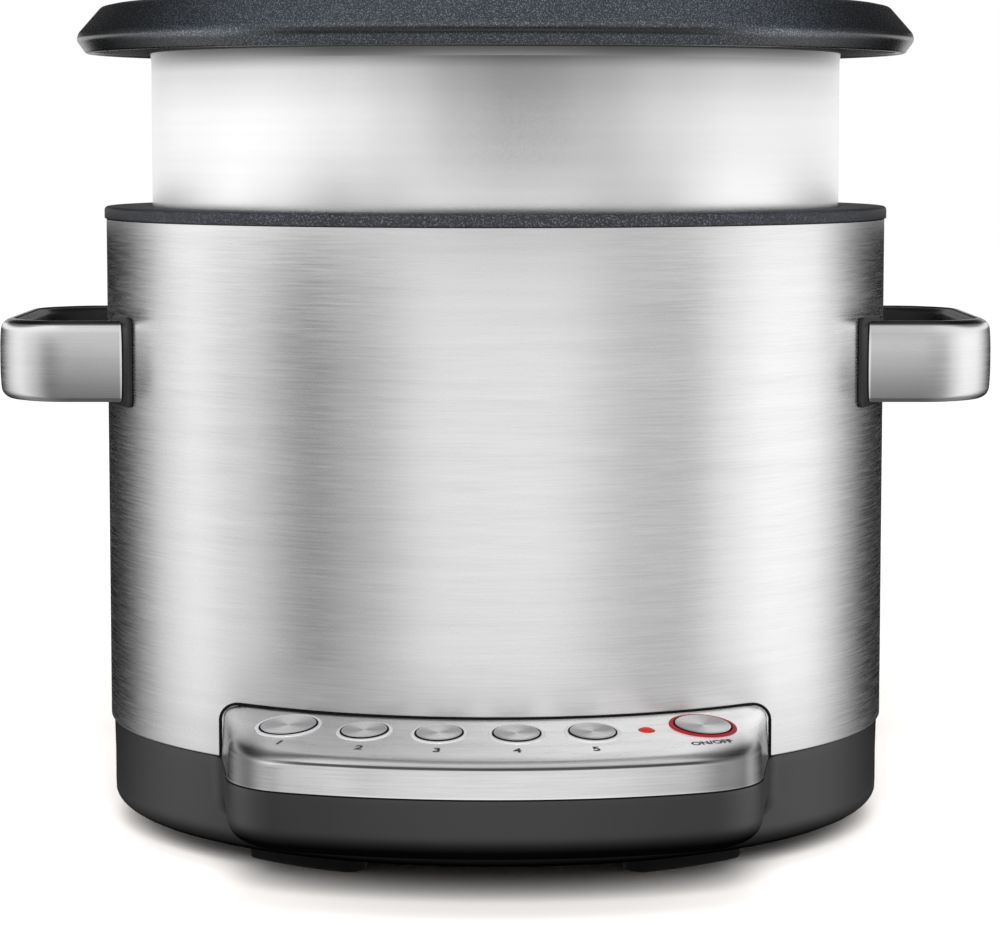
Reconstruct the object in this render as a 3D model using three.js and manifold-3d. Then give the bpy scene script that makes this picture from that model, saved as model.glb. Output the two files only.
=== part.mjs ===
// Countertop multicooker with its cooking bowl lifted, in millimetres, +Z up.
// The housing axis is the working axis: the front is towards -Y and the right side towards +X.
// The last lines move the whole part so that its origin lies under the middle of its box.

import * as THREE from 'three';
import { mergeVertices } from 'three/addons/utils/BufferGeometryUtils.js';
import Module from 'manifold-3d';

const wasm = await Module();
wasm.setup();

// Counts of flat sides
const ringSides = 48;
const hiddenSides = 24;
const smallSides = 16;
const pinSides = 12;
const arcSteps = 3;
const smallArc = 2;

// Clearances shared by all the pieces
const touchGap = 0.3;
const overrun = 5;

// Steel housing and its top rim
const housingRadius = 140;
const housingSheet = 1;
const housingBottom = 40;
const rimTop = 223;
const rimHeight = 4.3;
const rimProud = 0.7;
const rimPlate = 3;
const rimChamfer = 0.8;

// Metal liner that the bowl hangs in
const linerInset = 15.8;
const linerRadius = housingRadius - linerInset;
const linerSheet = 1;
const linerFloorRise = 28;
const linerFloor = housingBottom + linerFloorRise;
const linerFlange = 10;
const linerMouth = 22;
const linerCorner = 10;

// Cooking bowl, from its lip downwards and upwards
const bowlClearance = 0.7;
const bowlRadius = linerRadius - bowlClearance;
const bowlWall = 3;
const heaterStack = 69;
const bowlDepth = rimTop - housingBottom - heaterStack;
const bowlCorner = 22;
const bowlRaise = 66.8;
const bowlRecess = 2.5;
const bowlRecessRadius = 26;
const bowlRecessSlope = 2;
const flangeReach = 10;
const flangeRadius = housingRadius + flangeReach;
const flangeWidest = 4.6;
const flangeShoulder = 7;
const flangeShoulderIn = 0.7;
const flangeRoof = 13;
const flangeHeight = 17.2;
const flangeEdgeDrop = 0.8;
const flangeSlope = 9;
const flangeCrownEdge = flangeRadius - flangeSlope;
const flangeCrownRound = 4;
const flangeCrownOuter = flangeCrownEdge - flangeCrownRound;
const flangeMouthFlat = 3.5;
const flangeCrownInner = bowlRadius + flangeMouthFlat;
const flangeRound = 2;
const lipSetback = 3.3;
const lipOuter = flangeRadius - lipSetback;
const lipSheet = 2.5;
const lipInner = lipOuter - lipSheet;
const bowlShoulder = 0.4;
const bowlShoulderDrop = 3;
const bowlMouthRound = 5;

// Heating plate, its element and the sprung sensor in its middle
const plateInset = 24.2;
const plateRadius = linerRadius - plateInset;
const plateThickness = 12;
const plateHole = 17;
const plateBevel = 1.5;
const elementShare = 0.72;
const elementRadius = plateRadius * elementShare;
const elementTube = 5;
const elementTubeSides = 8;
const terminalRadius = 2.5;
const terminalLength = 26;
const terminalSpread = 12;
const terminalHole = 4.5;
const platePostRadius = 5;
const platePostInset = 12;
const platePostCircle = plateRadius - platePostInset;
const platePostCount = 3;
const spiderWidth = 8;
const spiderSheet = 1.5;
const sensorRadius = 16;
const sensorRise = 2.2;
const sensorCapThickness = 4;
const sensorSkirt = 1.5;
const sensorSkirtLength = 9.7;
const sensorStemRadius = 4;
const sensorStemLength = 44;
const sensorRound = 1;
const guideRadius = 12;
const guideBore = 10;
const guideHole = 4.6;
const guideFlangeRadius = 26;
const guideFlangeThickness = 2;
const guideDepth = 14;
const guideFloor = 2;
const springOuter = 8.6;
const springInner = 7.2;
const fuseRadius = 3;
const fuseLength = 22;
const fuseReach = 45;

// Plastic base under the housing
const baseTopInset = 1.3;
const baseTopRadius = housingRadius - baseTopInset;
const baseDraft = 0.1;
const baseRadius = baseTopRadius - baseDraft;
const baseWall = 2.5;
const baseBottom = 7.3;
const baseFilletReach = 12;
const baseFilletRise = 6.5;
const baseFilletSteps = 4;
const baseUpstand = 6;
const footInset = 21.6;
const footOuter = baseRadius - footInset;
const footWidth = 15;
const footInner = footOuter - footWidth;
const coverInset = 6;
const coverRadius = footInner - coverInset;
const coverThickness = 2;
const coverLedge = 7;
const coverLedgeThickness = 2.4;
const ventCount = 9;
const ventWidth = 3;
const ventLength = 44;
const ventPitch = 9;
const baseScrewInset = 3.5;
const baseScrewCircle = coverRadius - baseScrewInset;
const baseScrewCount = 4;
const screwRadius = 1.7;
const screwHeadRadius = 3.5;
const screwHeadHeight = 0.9;
const screwLength = 7;
const screwClearance = 0.3;

// Rubber feet, as arcs of a ring
const footStart = THREE.MathUtils.degToRad(24);
const footEnd = THREE.MathUtils.degToRad(48);
const footSteps = 6;
const footHeight = 7;

// Legs that carry the liner on the base
const legRadius = 6;
const legInset = 30;
const legCircle = housingRadius - legInset;
const legCount = 3;
const legTurn = Math.PI / 6;
const legRingWidth = 10;
const legRingHeight = 3;

// Control console that stands out at the front
const consoleDepth = 42;
const consoleRadius = housingRadius + consoleDepth;
const consoleSpread = 0.4835;
const consoleHalfWidth = consoleRadius * consoleSpread;
const consoleFlare = 4.3;
const consoleHalfWidthBack = consoleHalfWidth + consoleFlare;
const consoleBackInset = 0.9;
const consoleBackDepth = Math.sqrt(housingRadius ** 2 - consoleHalfWidthBack ** 2) - consoleBackInset;
const consoleCorner = 32;
const consoleCornerSteps = 8;
const ledgeRise = 18.5;
const ledgeTop = housingBottom + ledgeRise;
const ridgeSetback = 2;
const ridgeRadius = consoleRadius - ridgeSetback;
const ridgeRise = 11.7;
const ridgeLevel = housingBottom + ridgeRise;
const ridgeRound = 3;
const fasciaSheet = 1.5;
const bulgeHeight = 20.6;
const bulgeBottom = housingBottom - bulgeHeight;
const bulgeRound = 6;
const bulgeDraft = 0.5;

// Buttons on the console ledge, as turns about the housing axis
const buttonShare = 0.3405;
const buttonCircle = housingRadius + consoleDepth * buttonShare;
const modeTurns = [-25.9, -15.9, -6.7, 2.6, 11.8].map(THREE.MathUtils.degToRad);
const startTurn = THREE.MathUtils.degToRad(26.1);
const lampTurn = THREE.MathUtils.degToRad(18.6);
const largeButtonRadius = 9.25;
const smallButtonRadius = 7.5;
const largeRingWidth = 1.7;
const smallRingWidth = 1.4;
const buttonProud = 0.9;
const buttonSkirt = 2.2;
const buttonBevel = 0.6;
const buttonDish = 0.4;
const buttonDishShare = 0.78;
const stemRadius = 2.4;
const stemDepth = 8;
const ringProud = 0.5;
const ringBevel = 0.3;
const lampRadius = 2.5;
const lampProud = 0.6;
const frameDepth = 4;
const frameThickness = 2;
const frameHoleClearance = 0.8;
const boardThickness = 1.6;
const boardInset = 5;
const boardInner = housingRadius + boardInset;
const boardSetback = 15;
const boardOuter = consoleRadius - boardSetback;
const boardTurn = THREE.MathUtils.degToRad(29);
const boardSteps = 14;
const boardRise = 2.6;
const boardTop = housingBottom + boardRise;
const framePostRadius = 2.6;
const framePostInset = 4;
const framePostCircle = boardOuter - framePostInset;
const framePostTurns = [-24, -11, 7, 22].map(THREE.MathUtils.degToRad);
const switchWidth = 6;
const switchHeight = 3.5;
const stripWidth = 2;
const stripThickness = 0.5;
const ledBodyRadius = 1.8;
const ledBodyHeight = 3.5;

// Side handles, the right one described and the left one mirrored
const handleDepth = 35.3;
const handleReach = housingRadius + handleDepth;
const handleHalfWidth = 57;
const handleCorner = 26;
const handleDrop = 39;
const handleTop = rimTop - handleDrop;
const handleHeight = 28.3;
const handleBottom = handleTop - handleHeight;
const coverSheet = 1.2;
const coreThickness = 8;
const coreDrop = 0.8;
const handleArcSteps = 6;
const bracketThickness = 1.4;
const bracketFlare = 6;
const bracketEdge = handleHalfWidth + bracketFlare;
const bracketTuck = 14;
const bracketInnerEdge = handleHalfWidth - bracketTuck;
const bracketMargin = 1.5;
const bracketSteps = 3;
const handleScrewRadius = 1.8;
const handleScrewHead = 4;
const handleScrewHeadHeight = 2.2;
const handleScrewLength = 17;
const handleScrewOffset = 4.6;

// Mains inlet at the back of the base
const inletHalfWidth = 14;
const inletBottom = 15.5;
const inletDrop = 3.5;
const inletHeight = housingBottom - inletDrop - inletBottom;
const inletDepth = 28;
const inletProud = 1.4;
const inletWall = 1.8;
const inletSocketDepth = 18;
const pinWidth = 2;
const pinHeight = 4;
const pinLength = 15;
const pinSpread = 7;
const pinEarthDrop = 4;
const pinPlateThickness = 1;

// Power board and what stands on it
const powerBoardSize = new THREE.Vector3(0.958, 0.583, 0).multiplyScalar(coverRadius).setZ(boardThickness);
const powerBoardPlace = new THREE.Vector2(0, 0.458).multiplyScalar(coverRadius);
const powerBoardLevel = 17;
const powerBoardPost = 3;
const powerBoardPostInset = 4.5;
const relaySize = new THREE.Vector3(20, 16, 16);
const relayGap = 3;
const relayShare = 0.375;
const transformerSize = new THREE.Vector3(28, 30, 22);
const transformerGap = 1;
const transformerShare = 0.396;
const transformerLamination = 5;
const transformerWindow = 6;

// Wiring inside the body
const leadRadius = 1.5;
const leadSides = 6;
const leadSteps = 12;
const leadLoopIn = 20;
const mainsLeadDrop = 3;
const connectorWall = 3;
const connectorDepth = 7;
const connectorHeight = 5;
const ribbonWidth = 16;
const ribbonThickness = 0.8;
const ribbonSag = 3;
const ribbonSlotClearance = 1.4;

// Colours and finishes
function material(color, roughness, metalness) {
  return new THREE.MeshStandardMaterial({ color, roughness, metalness });
}
const brushedSteel = material(0xc9c9c9, 0.32, 1);
const consoleSteel = material(0xb8b8b8, 0.36, 1);
const darkTrim = material(0x33353a, 0.5, 0.2);
const basePlastic = material(0x3b3b3d, 0.55, 0);
const blackPlastic = material(0x17181a, 0.5, 0);
const rubberBlack = material(0x101010, 0.85, 0);
const castAluminium = material(0xa9abad, 0.5, 0.9);
const linerMetal = material(0x9fa2a5, 0.45, 0.9);
const coatedBowl = material(0xd6d8da, 0.4, 0.7);
const buttonMetal = material(0xd0d1d3, 0.25, 1);
const clearRing = material(0xdfe3e4, 0.15, 0);
const redRing = material(0x9c1016, 0.25, 0);
const redLens = material(0xd5301f, 0.2, 0);
const boardGreen = material(0x1f5a3a, 0.6, 0);
const copperTone = material(0xa8683c, 0.4, 0.9);
const whiteCover = material(0xe8e8e2, 0.6, 0);
const springSteel = material(0x8e9296, 0.35, 1);

const part = new THREE.Group();

// Solids and meshes
function triangleList(geometry) {
  const plain = new THREE.BufferGeometry();
  plain.setAttribute('position', geometry.getAttribute('position').clone());
  plain.setIndex(geometry.getIndex());
  const merged = mergeVertices(plain);
  const index = merged.getIndex().array;
  const kept = [];
  for (let i = 0; i < index.length; i += 3) {
    const [a, b, c] = [index[i], index[i + 1], index[i + 2]];
    if (a !== b && b !== c && a !== c) kept.push(a, b, c);
  }
  return { vertices: merged.getAttribute('position').array, triangles: kept };
}

function solidOf(geometry) {
  const { vertices, triangles } = triangleList(geometry);
  return new wasm.Manifold(new wasm.Mesh({
    numProp: 3,
    vertProperties: Float32Array.from(vertices),
    triVerts: Uint32Array.from(triangles),
  }));
}

function geometryOf(solid) {
  const mesh = solid.getMesh();
  const geometry = new THREE.BufferGeometry();
  geometry.setAttribute('position', new THREE.BufferAttribute(mesh.vertProperties, 3));
  geometry.setIndex(new THREE.BufferAttribute(mesh.triVerts, 1));
  return geometry;
}

function place(name, geometry, finish) {
  const mesh = new THREE.Mesh(geometry, finish);
  mesh.name = name;
  part.add(mesh);
  return mesh;
}

function placeSolid(name, solid, finish) {
  return place(name, geometryOf(solid), finish);
}

function joined(solids) {
  return solids.reduce((whole, solid) => whole.add(solid));
}

// Outlines: each corner is [across, up, radius, steps], and a radius rounds that corner with an arc
function outline(corners, arc = arcSteps) {
  const points = [];
  corners.forEach(([x, y, radius = 0, steps = arc], i) => {
    const corner = new THREE.Vector2(x, y);
    if (radius === 0) {
      points.push(corner);
      return;
    }
    const before = corners[(i + corners.length - 1) % corners.length];
    const after = corners[(i + 1) % corners.length];
    const back = new THREE.Vector2(before[0], before[1]).sub(corner).normalize();
    const on = new THREE.Vector2(after[0], after[1]).sub(corner).normalize();
    const half = Math.acos(THREE.MathUtils.clamp(back.dot(on), -1, 1)) / 2;
    const centre = back.clone().add(on).normalize().multiplyScalar(radius / Math.sin(half));
    centre.add(corner);
    const start = back.clone().multiplyScalar(radius / Math.tan(half)).add(corner).sub(centre);
    const end = on.clone().multiplyScalar(radius / Math.tan(half)).add(corner).sub(centre);
    const turn = Math.atan2(start.cross(end), start.dot(end));
    for (let k = 0; k <= steps; k += 1) {
      points.push(start.clone().rotateAround(new THREE.Vector2(), (turn * k) / steps).add(centre));
    }
  });
  return points;
}

// A ring or a turned piece about +Z, from a profile that runs up on its outer side
function turned(points, sides = ringSides) {
  const closed = points.map((point) => new THREE.Vector2(Math.max(point.x, 0), point.y));
  if (closed[0].x > 0 || closed[closed.length - 1].x > 0) closed.push(closed[0].clone());
  const geometry = new THREE.LatheGeometry(closed, sides);
  geometry.rotateX(Math.PI / 2);
  return geometry;
}

function turnedSolid(corners, sides = ringSides, steps = arcSteps) {
  return solidOf(turned(outline(corners, steps), sides));
}

function rod(radius, bottom, top, sides = smallSides) {
  const geometry = new THREE.CylinderGeometry(radius, radius, top - bottom, sides);
  geometry.rotateX(Math.PI / 2);
  geometry.translate(0, 0, (top + bottom) / 2);
  return geometry;
}

function block(low, high) {
  const size = high.clone().sub(low);
  const geometry = new THREE.BoxGeometry(size.x, size.y, size.z);
  const centre = high.clone().add(low).divideScalar(2);
  geometry.translate(centre.x, centre.y, centre.z);
  return geometry;
}

function prism(points, bottom, top) {
  const geometry = new THREE.ExtrudeGeometry(new THREE.Shape(points), {
    depth: top - bottom,
    bevelEnabled: false,
    steps: 1,
  });
  geometry.translate(0, 0, bottom);
  return geometry;
}

// A point at a radius and a turn about the axis, where a turn of zero faces the front
function around(radius, turn) {
  return new THREE.Vector2(radius * Math.sin(turn), -radius * Math.cos(turn));
}

function arcBand(inner, outer, start, end, steps, bottom, top) {
  const points = [];
  for (let k = 0; k <= steps; k += 1) points.push(around(outer, start + ((end - start) * k) / steps));
  for (let k = steps; k >= 0; k -= 1) points.push(around(inner, start + ((end - start) * k) / steps));
  return prism(points, bottom, top);
}

function tubeAlong(points, radius, sides, steps) {
  const section = new THREE.Shape();
  for (let k = 0; k < sides; k += 1) {
    const turn = (2 * Math.PI * k) / sides;
    const [x, y] = [radius * Math.cos(turn), radius * Math.sin(turn)];
    if (k === 0) section.moveTo(x, y);
    else section.lineTo(x, y);
  }
  section.closePath();
  return new THREE.ExtrudeGeometry(section, {
    steps,
    bevelEnabled: false,
    extrudePath: new THREE.CatmullRomCurve3(points),
  });
}

// Housing shell with the slot for the panel ribbon and the holes for the handle screws
const housingInner = housingRadius - housingSheet;
const housingTop = rimTop - rimHeight - touchGap;
const housingRise = outline([
  [housingInner, housingBottom],
  [housingRadius, housingBottom],
  [housingRadius, housingTop],
  [housingInner, housingTop],
]);
const ribbonLevel = housingBottom + baseUpstand + ribbonSlotClearance;
const ribbonSlot = block(
  new THREE.Vector3(-ribbonWidth / 2 - ribbonSlotClearance, -housingRadius - overrun, ribbonLevel),
  new THREE.Vector3(
    ribbonWidth / 2 + ribbonSlotClearance,
    -housingInner + overrun,
    ribbonLevel + ribbonThickness + 2 * ribbonSlotClearance,
  ),
);
const handleMiddle = (handleTop + handleBottom) / 2;
const handleScrewLine = handleHalfWidth - handleScrewOffset;
function acrossRod(radius, from, to, y, level, sides = pinSides) {
  const geometry = new THREE.CylinderGeometry(radius, radius, to - from, sides);
  geometry.rotateZ(Math.PI / 2);
  geometry.translate((from + to) / 2, y, level);
  return geometry;
}
const handleSides = [-1, 1];
let housing = solidOf(turned(housingRise)).subtract(solidOf(ribbonSlot));
for (const front of handleSides) {
  const bore = acrossRod(
    handleScrewRadius + screwClearance,
    -housingRadius - overrun,
    housingRadius + overrun,
    front * handleScrewLine,
    handleMiddle,
  );
  housing = housing.subtract(solidOf(bore));
}
placeSolid('housing_shell', housing, brushedSteel);

// Rim ring: a flat ring over the liner flange, with an edge that covers the top of the steel
const linerTop = rimTop - rimPlate - touchGap;
const linerOuter = linerRadius + linerSheet;
const linerFlangeRadius = linerOuter + linerFlange;
place('top_rim_ring', turned(outline([
  [linerRadius + touchGap, rimTop - rimPlate],
  [linerFlangeRadius + 2 * touchGap, rimTop - rimPlate],
  [linerFlangeRadius + 2 * touchGap, rimTop - rimHeight],
  [housingRadius + rimProud, rimTop - rimHeight],
  [housingRadius + rimProud, rimTop, rimChamfer, 1],
  [linerRadius + touchGap, rimTop],
])), darkTrim);

// Liner: an open cup with a flange at its top and a mouth in its floor for the sensor
let liner = turnedSolid([
  [linerMouth, linerFloor],
  [linerOuter, linerFloor, linerCorner, smallArc],
  [linerOuter, linerTop - linerSheet],
  [linerFlangeRadius, linerTop - linerSheet],
  [linerFlangeRadius, linerTop],
  [linerRadius, linerTop],
  [linerRadius, linerFloor + linerSheet, linerCorner - linerSheet, smallArc],
  [linerMouth, linerFloor + linerSheet],
]);
const terminalTurns = [-1, 1].map((side) => Math.PI + (side * terminalSpread) / elementRadius);
for (const turn of terminalTurns) {
  const at = around(elementRadius, turn);
  const hole = rod(terminalHole, linerFloor - overrun, linerFloor + overrun, pinSides);
  hole.translate(at.x, at.y, 0);
  liner = liner.subtract(solidOf(hole));
}
placeSolid('inner_pot_liner', liner, linerMetal);

// Cooking bowl, placed by the height at which its lip is lifted above the seat
const bowlSeatLip = rimTop + touchGap - flangeRoof;
const lipLevel = bowlSeatLip + bowlRaise;
const bowlFoot = lipLevel - bowlDepth;
const bowlInner = bowlRadius - bowlWall;
place('cooking_bowl', turned(outline([
  [0, bowlFoot + bowlRecess],
  [bowlRecessRadius - bowlRecessSlope, bowlFoot + bowlRecess],
  [bowlRecessRadius, bowlFoot],
  [bowlRadius, bowlFoot, bowlCorner],
  [bowlRadius, lipLevel - bowlShoulderDrop],
  [bowlRadius + bowlShoulder, lipLevel],
  [bowlRadius + bowlShoulder, lipLevel + flangeRoof],
  [lipInner, lipLevel + flangeRoof],
  [lipInner, lipLevel],
  [lipOuter, lipLevel],
  [flangeRadius, lipLevel + flangeWidest, flangeRound, smallArc],
  [flangeRadius - flangeShoulderIn, lipLevel + flangeShoulder],
  [flangeCrownEdge, lipLevel + flangeHeight - flangeEdgeDrop],
  [flangeCrownOuter, lipLevel + flangeHeight],
  [flangeCrownInner, lipLevel + flangeHeight],
  [bowlInner, lipLevel + flangeHeight - flangeEdgeDrop, bowlMouthRound, smallArc],
  [bowlInner, bowlFoot + bowlWall, bowlCorner - bowlWall],
  [bowlRecessRadius + bowlWall, bowlFoot + bowlWall],
  [bowlRecessRadius, bowlFoot + bowlWall + bowlRecess],
  [0, bowlFoot + bowlWall + bowlRecess],
])), coatedBowl);

// Heating plate, right under the seated bowl
const plateTop = rimTop - flangeRoof - bowlDepth;
const plateBottom = plateTop - plateThickness;
place('heating_plate', turned(outline([
  [plateHole, plateBottom],
  [plateRadius - plateBevel, plateBottom],
  [plateRadius, plateBottom + plateBevel],
  [plateRadius, plateTop - plateBevel],
  [plateRadius - plateBevel, plateTop],
  [plateHole, plateTop],
])), castAluminium);

// Heating element: a ring under the plate, with two terminals that pass down through the liner
const elementLevel = plateBottom - touchGap - elementTube;
const elementSection = [];
for (let k = 0; k < elementTubeSides; k += 1) {
  const turn = (2 * Math.PI * k) / elementTubeSides;
  const x = elementRadius + elementTube * Math.cos(turn);
  elementSection.push(new THREE.Vector2(x, elementLevel + elementTube * Math.sin(turn)));
}
let element = solidOf(turned(elementSection, hiddenSides));
for (const turn of terminalTurns) {
  const at = around(elementRadius, turn);
  const terminal = rod(terminalRadius, elementLevel - terminalLength, elementLevel, pinSides);
  terminal.translate(at.x, at.y, 0);
  element = element.add(solidOf(terminal));
}
placeSolid('heating_element', element, springSteel);

// A flat ring on a circle, with posts that stand on it or hang from it
function postRing(circle, width, ringLow, ringHigh, posts) {
  const ring = turned(outline([
    [circle - width / 2, ringLow],
    [circle + width / 2, ringLow],
    [circle + width / 2, ringHigh],
    [circle - width / 2, ringHigh],
  ]), hiddenSides);
  const rods = Array.from({ length: posts.count }, (_, k) => {
    const at = around(circle, posts.turn + (2 * Math.PI * k) / posts.count);
    const post = rod(posts.radius, posts.low, posts.high, pinSides);
    post.translate(at.x, at.y, 0);
    return solidOf(post);
  });
  return joined([solidOf(ring), ...rods]);
}

// Spider between the liner floor and the plate
const linerFloorTop = linerFloor + linerSheet;
const spiderLow = linerFloorTop + touchGap;
placeSolid('plate_spider', postRing(platePostCircle, spiderWidth, spiderLow, spiderLow + spiderSheet, {
  count: platePostCount,
  turn: 0,
  radius: platePostRadius,
  low: spiderLow,
  high: plateBottom - touchGap,
}), springSteel);

// Sensor: a sprung cap on a stem that runs in a guide under the liner
const sensorTop = plateTop + sensorRise;
const sensorUnder = sensorTop - sensorCapThickness;
const guideTop = linerFloor - touchGap;
const guideLow = guideTop - guideDepth;
place('sensor_cap', turned(outline([
  [0, sensorUnder - sensorStemLength],
  [sensorStemRadius, sensorUnder - sensorStemLength],
  [sensorStemRadius, sensorUnder],
  [sensorRadius - sensorSkirt, sensorUnder],
  [sensorRadius - sensorSkirt, sensorUnder - sensorSkirtLength],
  [sensorRadius, sensorUnder - sensorSkirtLength],
  [sensorRadius, sensorTop, sensorRound],
  [0, sensorTop],
]), pinSides), castAluminium);
place('sensor_guide', turned(outline([
  [guideHole, guideLow],
  [guideRadius, guideLow],
  [guideRadius, guideTop - guideFlangeThickness],
  [guideFlangeRadius, guideTop - guideFlangeThickness],
  [guideFlangeRadius, guideTop],
  [guideBore, guideTop],
  [guideBore, guideLow + guideFloor],
  [guideHole, guideLow + guideFloor],
]), pinSides), springSteel);
place('sensor_spring', turned(outline([
  [springInner, guideLow + guideFloor + touchGap],
  [springOuter, guideLow + guideFloor + touchGap],
  [springOuter, sensorUnder - touchGap],
  [springInner, sensorUnder - touchGap],
]), pinSides), springSteel);

// Thermal fuse held against the underside of the plate
place('thermal_fuse', acrossRod(
  fuseRadius,
  -fuseLength / 2,
  fuseLength / 2,
  fuseReach,
  plateBottom - touchGap - fuseRadius,
), whiteCover);

// Support with legs from the base floor to a ring under the liner
const baseFloorTop = baseBottom + baseWall;
const supportTop = linerFloor - touchGap;
placeSolid('liner_support', postRing(legCircle, legRingWidth, supportTop - legRingHeight, supportTop, {
  count: legCount,
  turn: legTurn,
  radius: legRadius,
  low: baseFloorTop + touchGap,
  high: supportTop,
}), basePlastic);

// Console shape, drawn in by an inset so that one function makes its skin and its hollow
const ledgeFall = (ledgeTop - ridgeLevel) / (ridgeRadius - housingRadius);
const ledgeSlope = Math.atan(ledgeFall);
const frontLean = (consoleRadius - ridgeRadius) / (ridgeLevel - housingBottom);
const frontLeanAngle = Math.atan(frontLean);
function ledgeLevel(radius, inset = 0) {
  return ledgeTop - inset / Math.cos(ledgeSlope) - (radius - housingRadius) * ledgeFall;
}
function frontRadius(level, inset = 0) {
  return consoleRadius - inset / Math.cos(frontLeanAngle) - (level - housingBottom) * frontLean;
}
function consolePlan(inset) {
  const half = consoleHalfWidth - inset;
  const corner = consoleCorner - inset;
  const front = consoleRadius - inset;
  const centre = new THREE.Vector2(half - corner, -Math.sqrt((front - corner) ** 2 - (half - corner) ** 2));
  const turn = Math.atan2(-centre.y, centre.x);
  const side = [new THREE.Vector2(consoleHalfWidthBack - inset, -consoleBackDepth + inset)];
  for (let k = 0; k <= consoleCornerSteps; k += 1) {
    const angle = (-turn * k) / consoleCornerSteps;
    side.push(new THREE.Vector2(corner * Math.cos(angle), corner * Math.sin(angle)).add(centre));
  }
  const tip = new THREE.Vector2(0, -front / Math.sin(turn) - overrun);
  const mirrored = side.map((point) => new THREE.Vector2(-point.x, point.y)).reverse();
  return [...side, tip, ...mirrored];
}
function consoleSolid(inset, back, bottom) {
  const ridge = (frontRadius(ridgeLevel, inset) + ridgeRadius - inset) / 2;
  const body = turnedSolid([
    [back, bottom],
    [frontRadius(bottom, inset), bottom],
    [ridge, ledgeLevel(ridge, inset), Math.max(ridgeRound - inset, 0)],
    [back, ledgeLevel(back, inset)],
  ]);
  return body.intersect(solidOf(prism(consolePlan(inset), bottom - overrun, ledgeTop + overrun)));
}

// Frame of one thing on the ledge: its Z is the ledge normal at that turn
function onLedge(geometry, turn, radius = buttonCircle) {
  const matrix = new THREE.Matrix4().makeRotationZ(turn);
  matrix.multiply(new THREE.Matrix4().makeTranslation(0, -radius, ledgeLevel(radius)));
  matrix.multiply(new THREE.Matrix4().makeRotationX(ledgeSlope));
  geometry.applyMatrix4(matrix);
  return geometry;
}

const controls = modeTurns.map((turn, k) => ({
  name: `mode_button_${k + 1}`,
  ring: `mode_ring_${k + 1}`,
  turn,
  radius: k === 0 ? largeButtonRadius : smallButtonRadius,
  ringWidth: k === 0 ? largeRingWidth : smallRingWidth,
  finish: clearRing,
}));
controls.push({
  name: 'start_button',
  ring: 'start_ring',
  turn: startTurn,
  radius: largeButtonRadius,
  ringWidth: largeRingWidth,
  finish: redRing,
});

// Fascia: the steel skin of the console, open at its back and under
let fascia = consoleSolid(0, housingRadius + touchGap, housingBottom);
fascia = fascia.subtract(consoleSolid(fasciaSheet, housingInner - overrun, housingBottom - overrun));
for (const { turn, radius, ringWidth } of controls) {
  const hole = rod(radius + ringWidth + 2 * touchGap, -overrun, overrun);
  fascia = fascia.subtract(solidOf(onLedge(hole, turn)));
}
const lampHole = rod(lampRadius + touchGap, -overrun, overrun);
fascia = fascia.subtract(solidOf(onLedge(lampHole, lampTurn)));
placeSolid('control_panel_fascia', fascia, consoleSteel);

// Button frame: a plate under the fascia with stem holes, and posts that carry the board
const frameInset = fasciaSheet + touchGap;
const framePlateTop = ledgeTop - frameDepth / Math.cos(ledgeSlope);
const framePlateFall = frameThickness / Math.cos(ledgeSlope);
const frameBack = housingRadius + touchGap;
const frameFront = consoleRadius - frameInset;
function framePlateLevel(radius) {
  return framePlateTop - (radius - housingRadius) * ledgeFall;
}
let frame = turnedSolid([
  [frameBack, framePlateLevel(frameBack) - framePlateFall],
  [ridgeRadius - frameInset - touchGap, framePlateLevel(ridgeRadius - frameInset) - framePlateFall],
  [ridgeRadius - frameInset - touchGap, framePlateLevel(ridgeRadius - frameInset)],
  [frameBack, framePlateLevel(frameBack)],
]);
for (const turn of framePostTurns) {
  const at = around(framePostCircle, turn);
  const post = rod(framePostRadius, boardTop + touchGap, framePlateLevel(framePostCircle), pinSides);
  post.translate(at.x, at.y, 0);
  frame = frame.add(solidOf(post));
}
frame = frame.intersect(solidOf(prism(consolePlan(frameInset), boardTop, ledgeTop)));
for (const { turn } of controls) {
  const hole = rod(stemRadius + frameHoleClearance, -stemDepth, overrun, pinSides);
  frame = frame.subtract(solidOf(onLedge(hole, turn)));
}
frame = frame.subtract(solidOf(onLedge(rod(lampRadius / 2, -stemDepth, overrun, pinSides), lampTurn)));
placeSolid('panel_button_frame', frame, blackPlastic);

// Control board under the frame, with a strip of switches, one below each stem, and the lamp's diode
place('control_board', arcBand(
  boardInner,
  boardOuter,
  -boardTurn,
  boardTurn,
  boardSteps,
  boardTop - boardThickness,
  boardTop,
), boardGreen);
const switchFloor = boardTop + touchGap;
const switchCircle = buttonCircle - stemDepth * Math.sin(ledgeSlope);
const switches = controls.map(({ turn }) => {
  const half = switchWidth / 2;
  const body = block(
    new THREE.Vector3(-half, -half, switchFloor),
    new THREE.Vector3(half, half, switchFloor + switchHeight),
  );
  const at = around(switchCircle, turn);
  body.rotateZ(turn);
  body.translate(at.x, at.y, 0);
  return solidOf(body);
});
const strip = arcBand(
  switchCircle - switchWidth / 2,
  switchCircle - switchWidth / 2 + stripWidth,
  -startTurn,
  startTurn,
  boardSteps,
  switchFloor,
  switchFloor + stripThickness,
);
placeSolid('switch_strip', joined([solidOf(strip), ...switches]), blackPlastic);
const lampFoot = around(buttonCircle, lampTurn);
const lampDiode = rod(ledBodyRadius, switchFloor, switchFloor + ledBodyHeight, pinSides);
lampDiode.translate(lampFoot.x, lampFoot.y, 0);
place('keep_warm_led', lampDiode, redLens);

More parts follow.
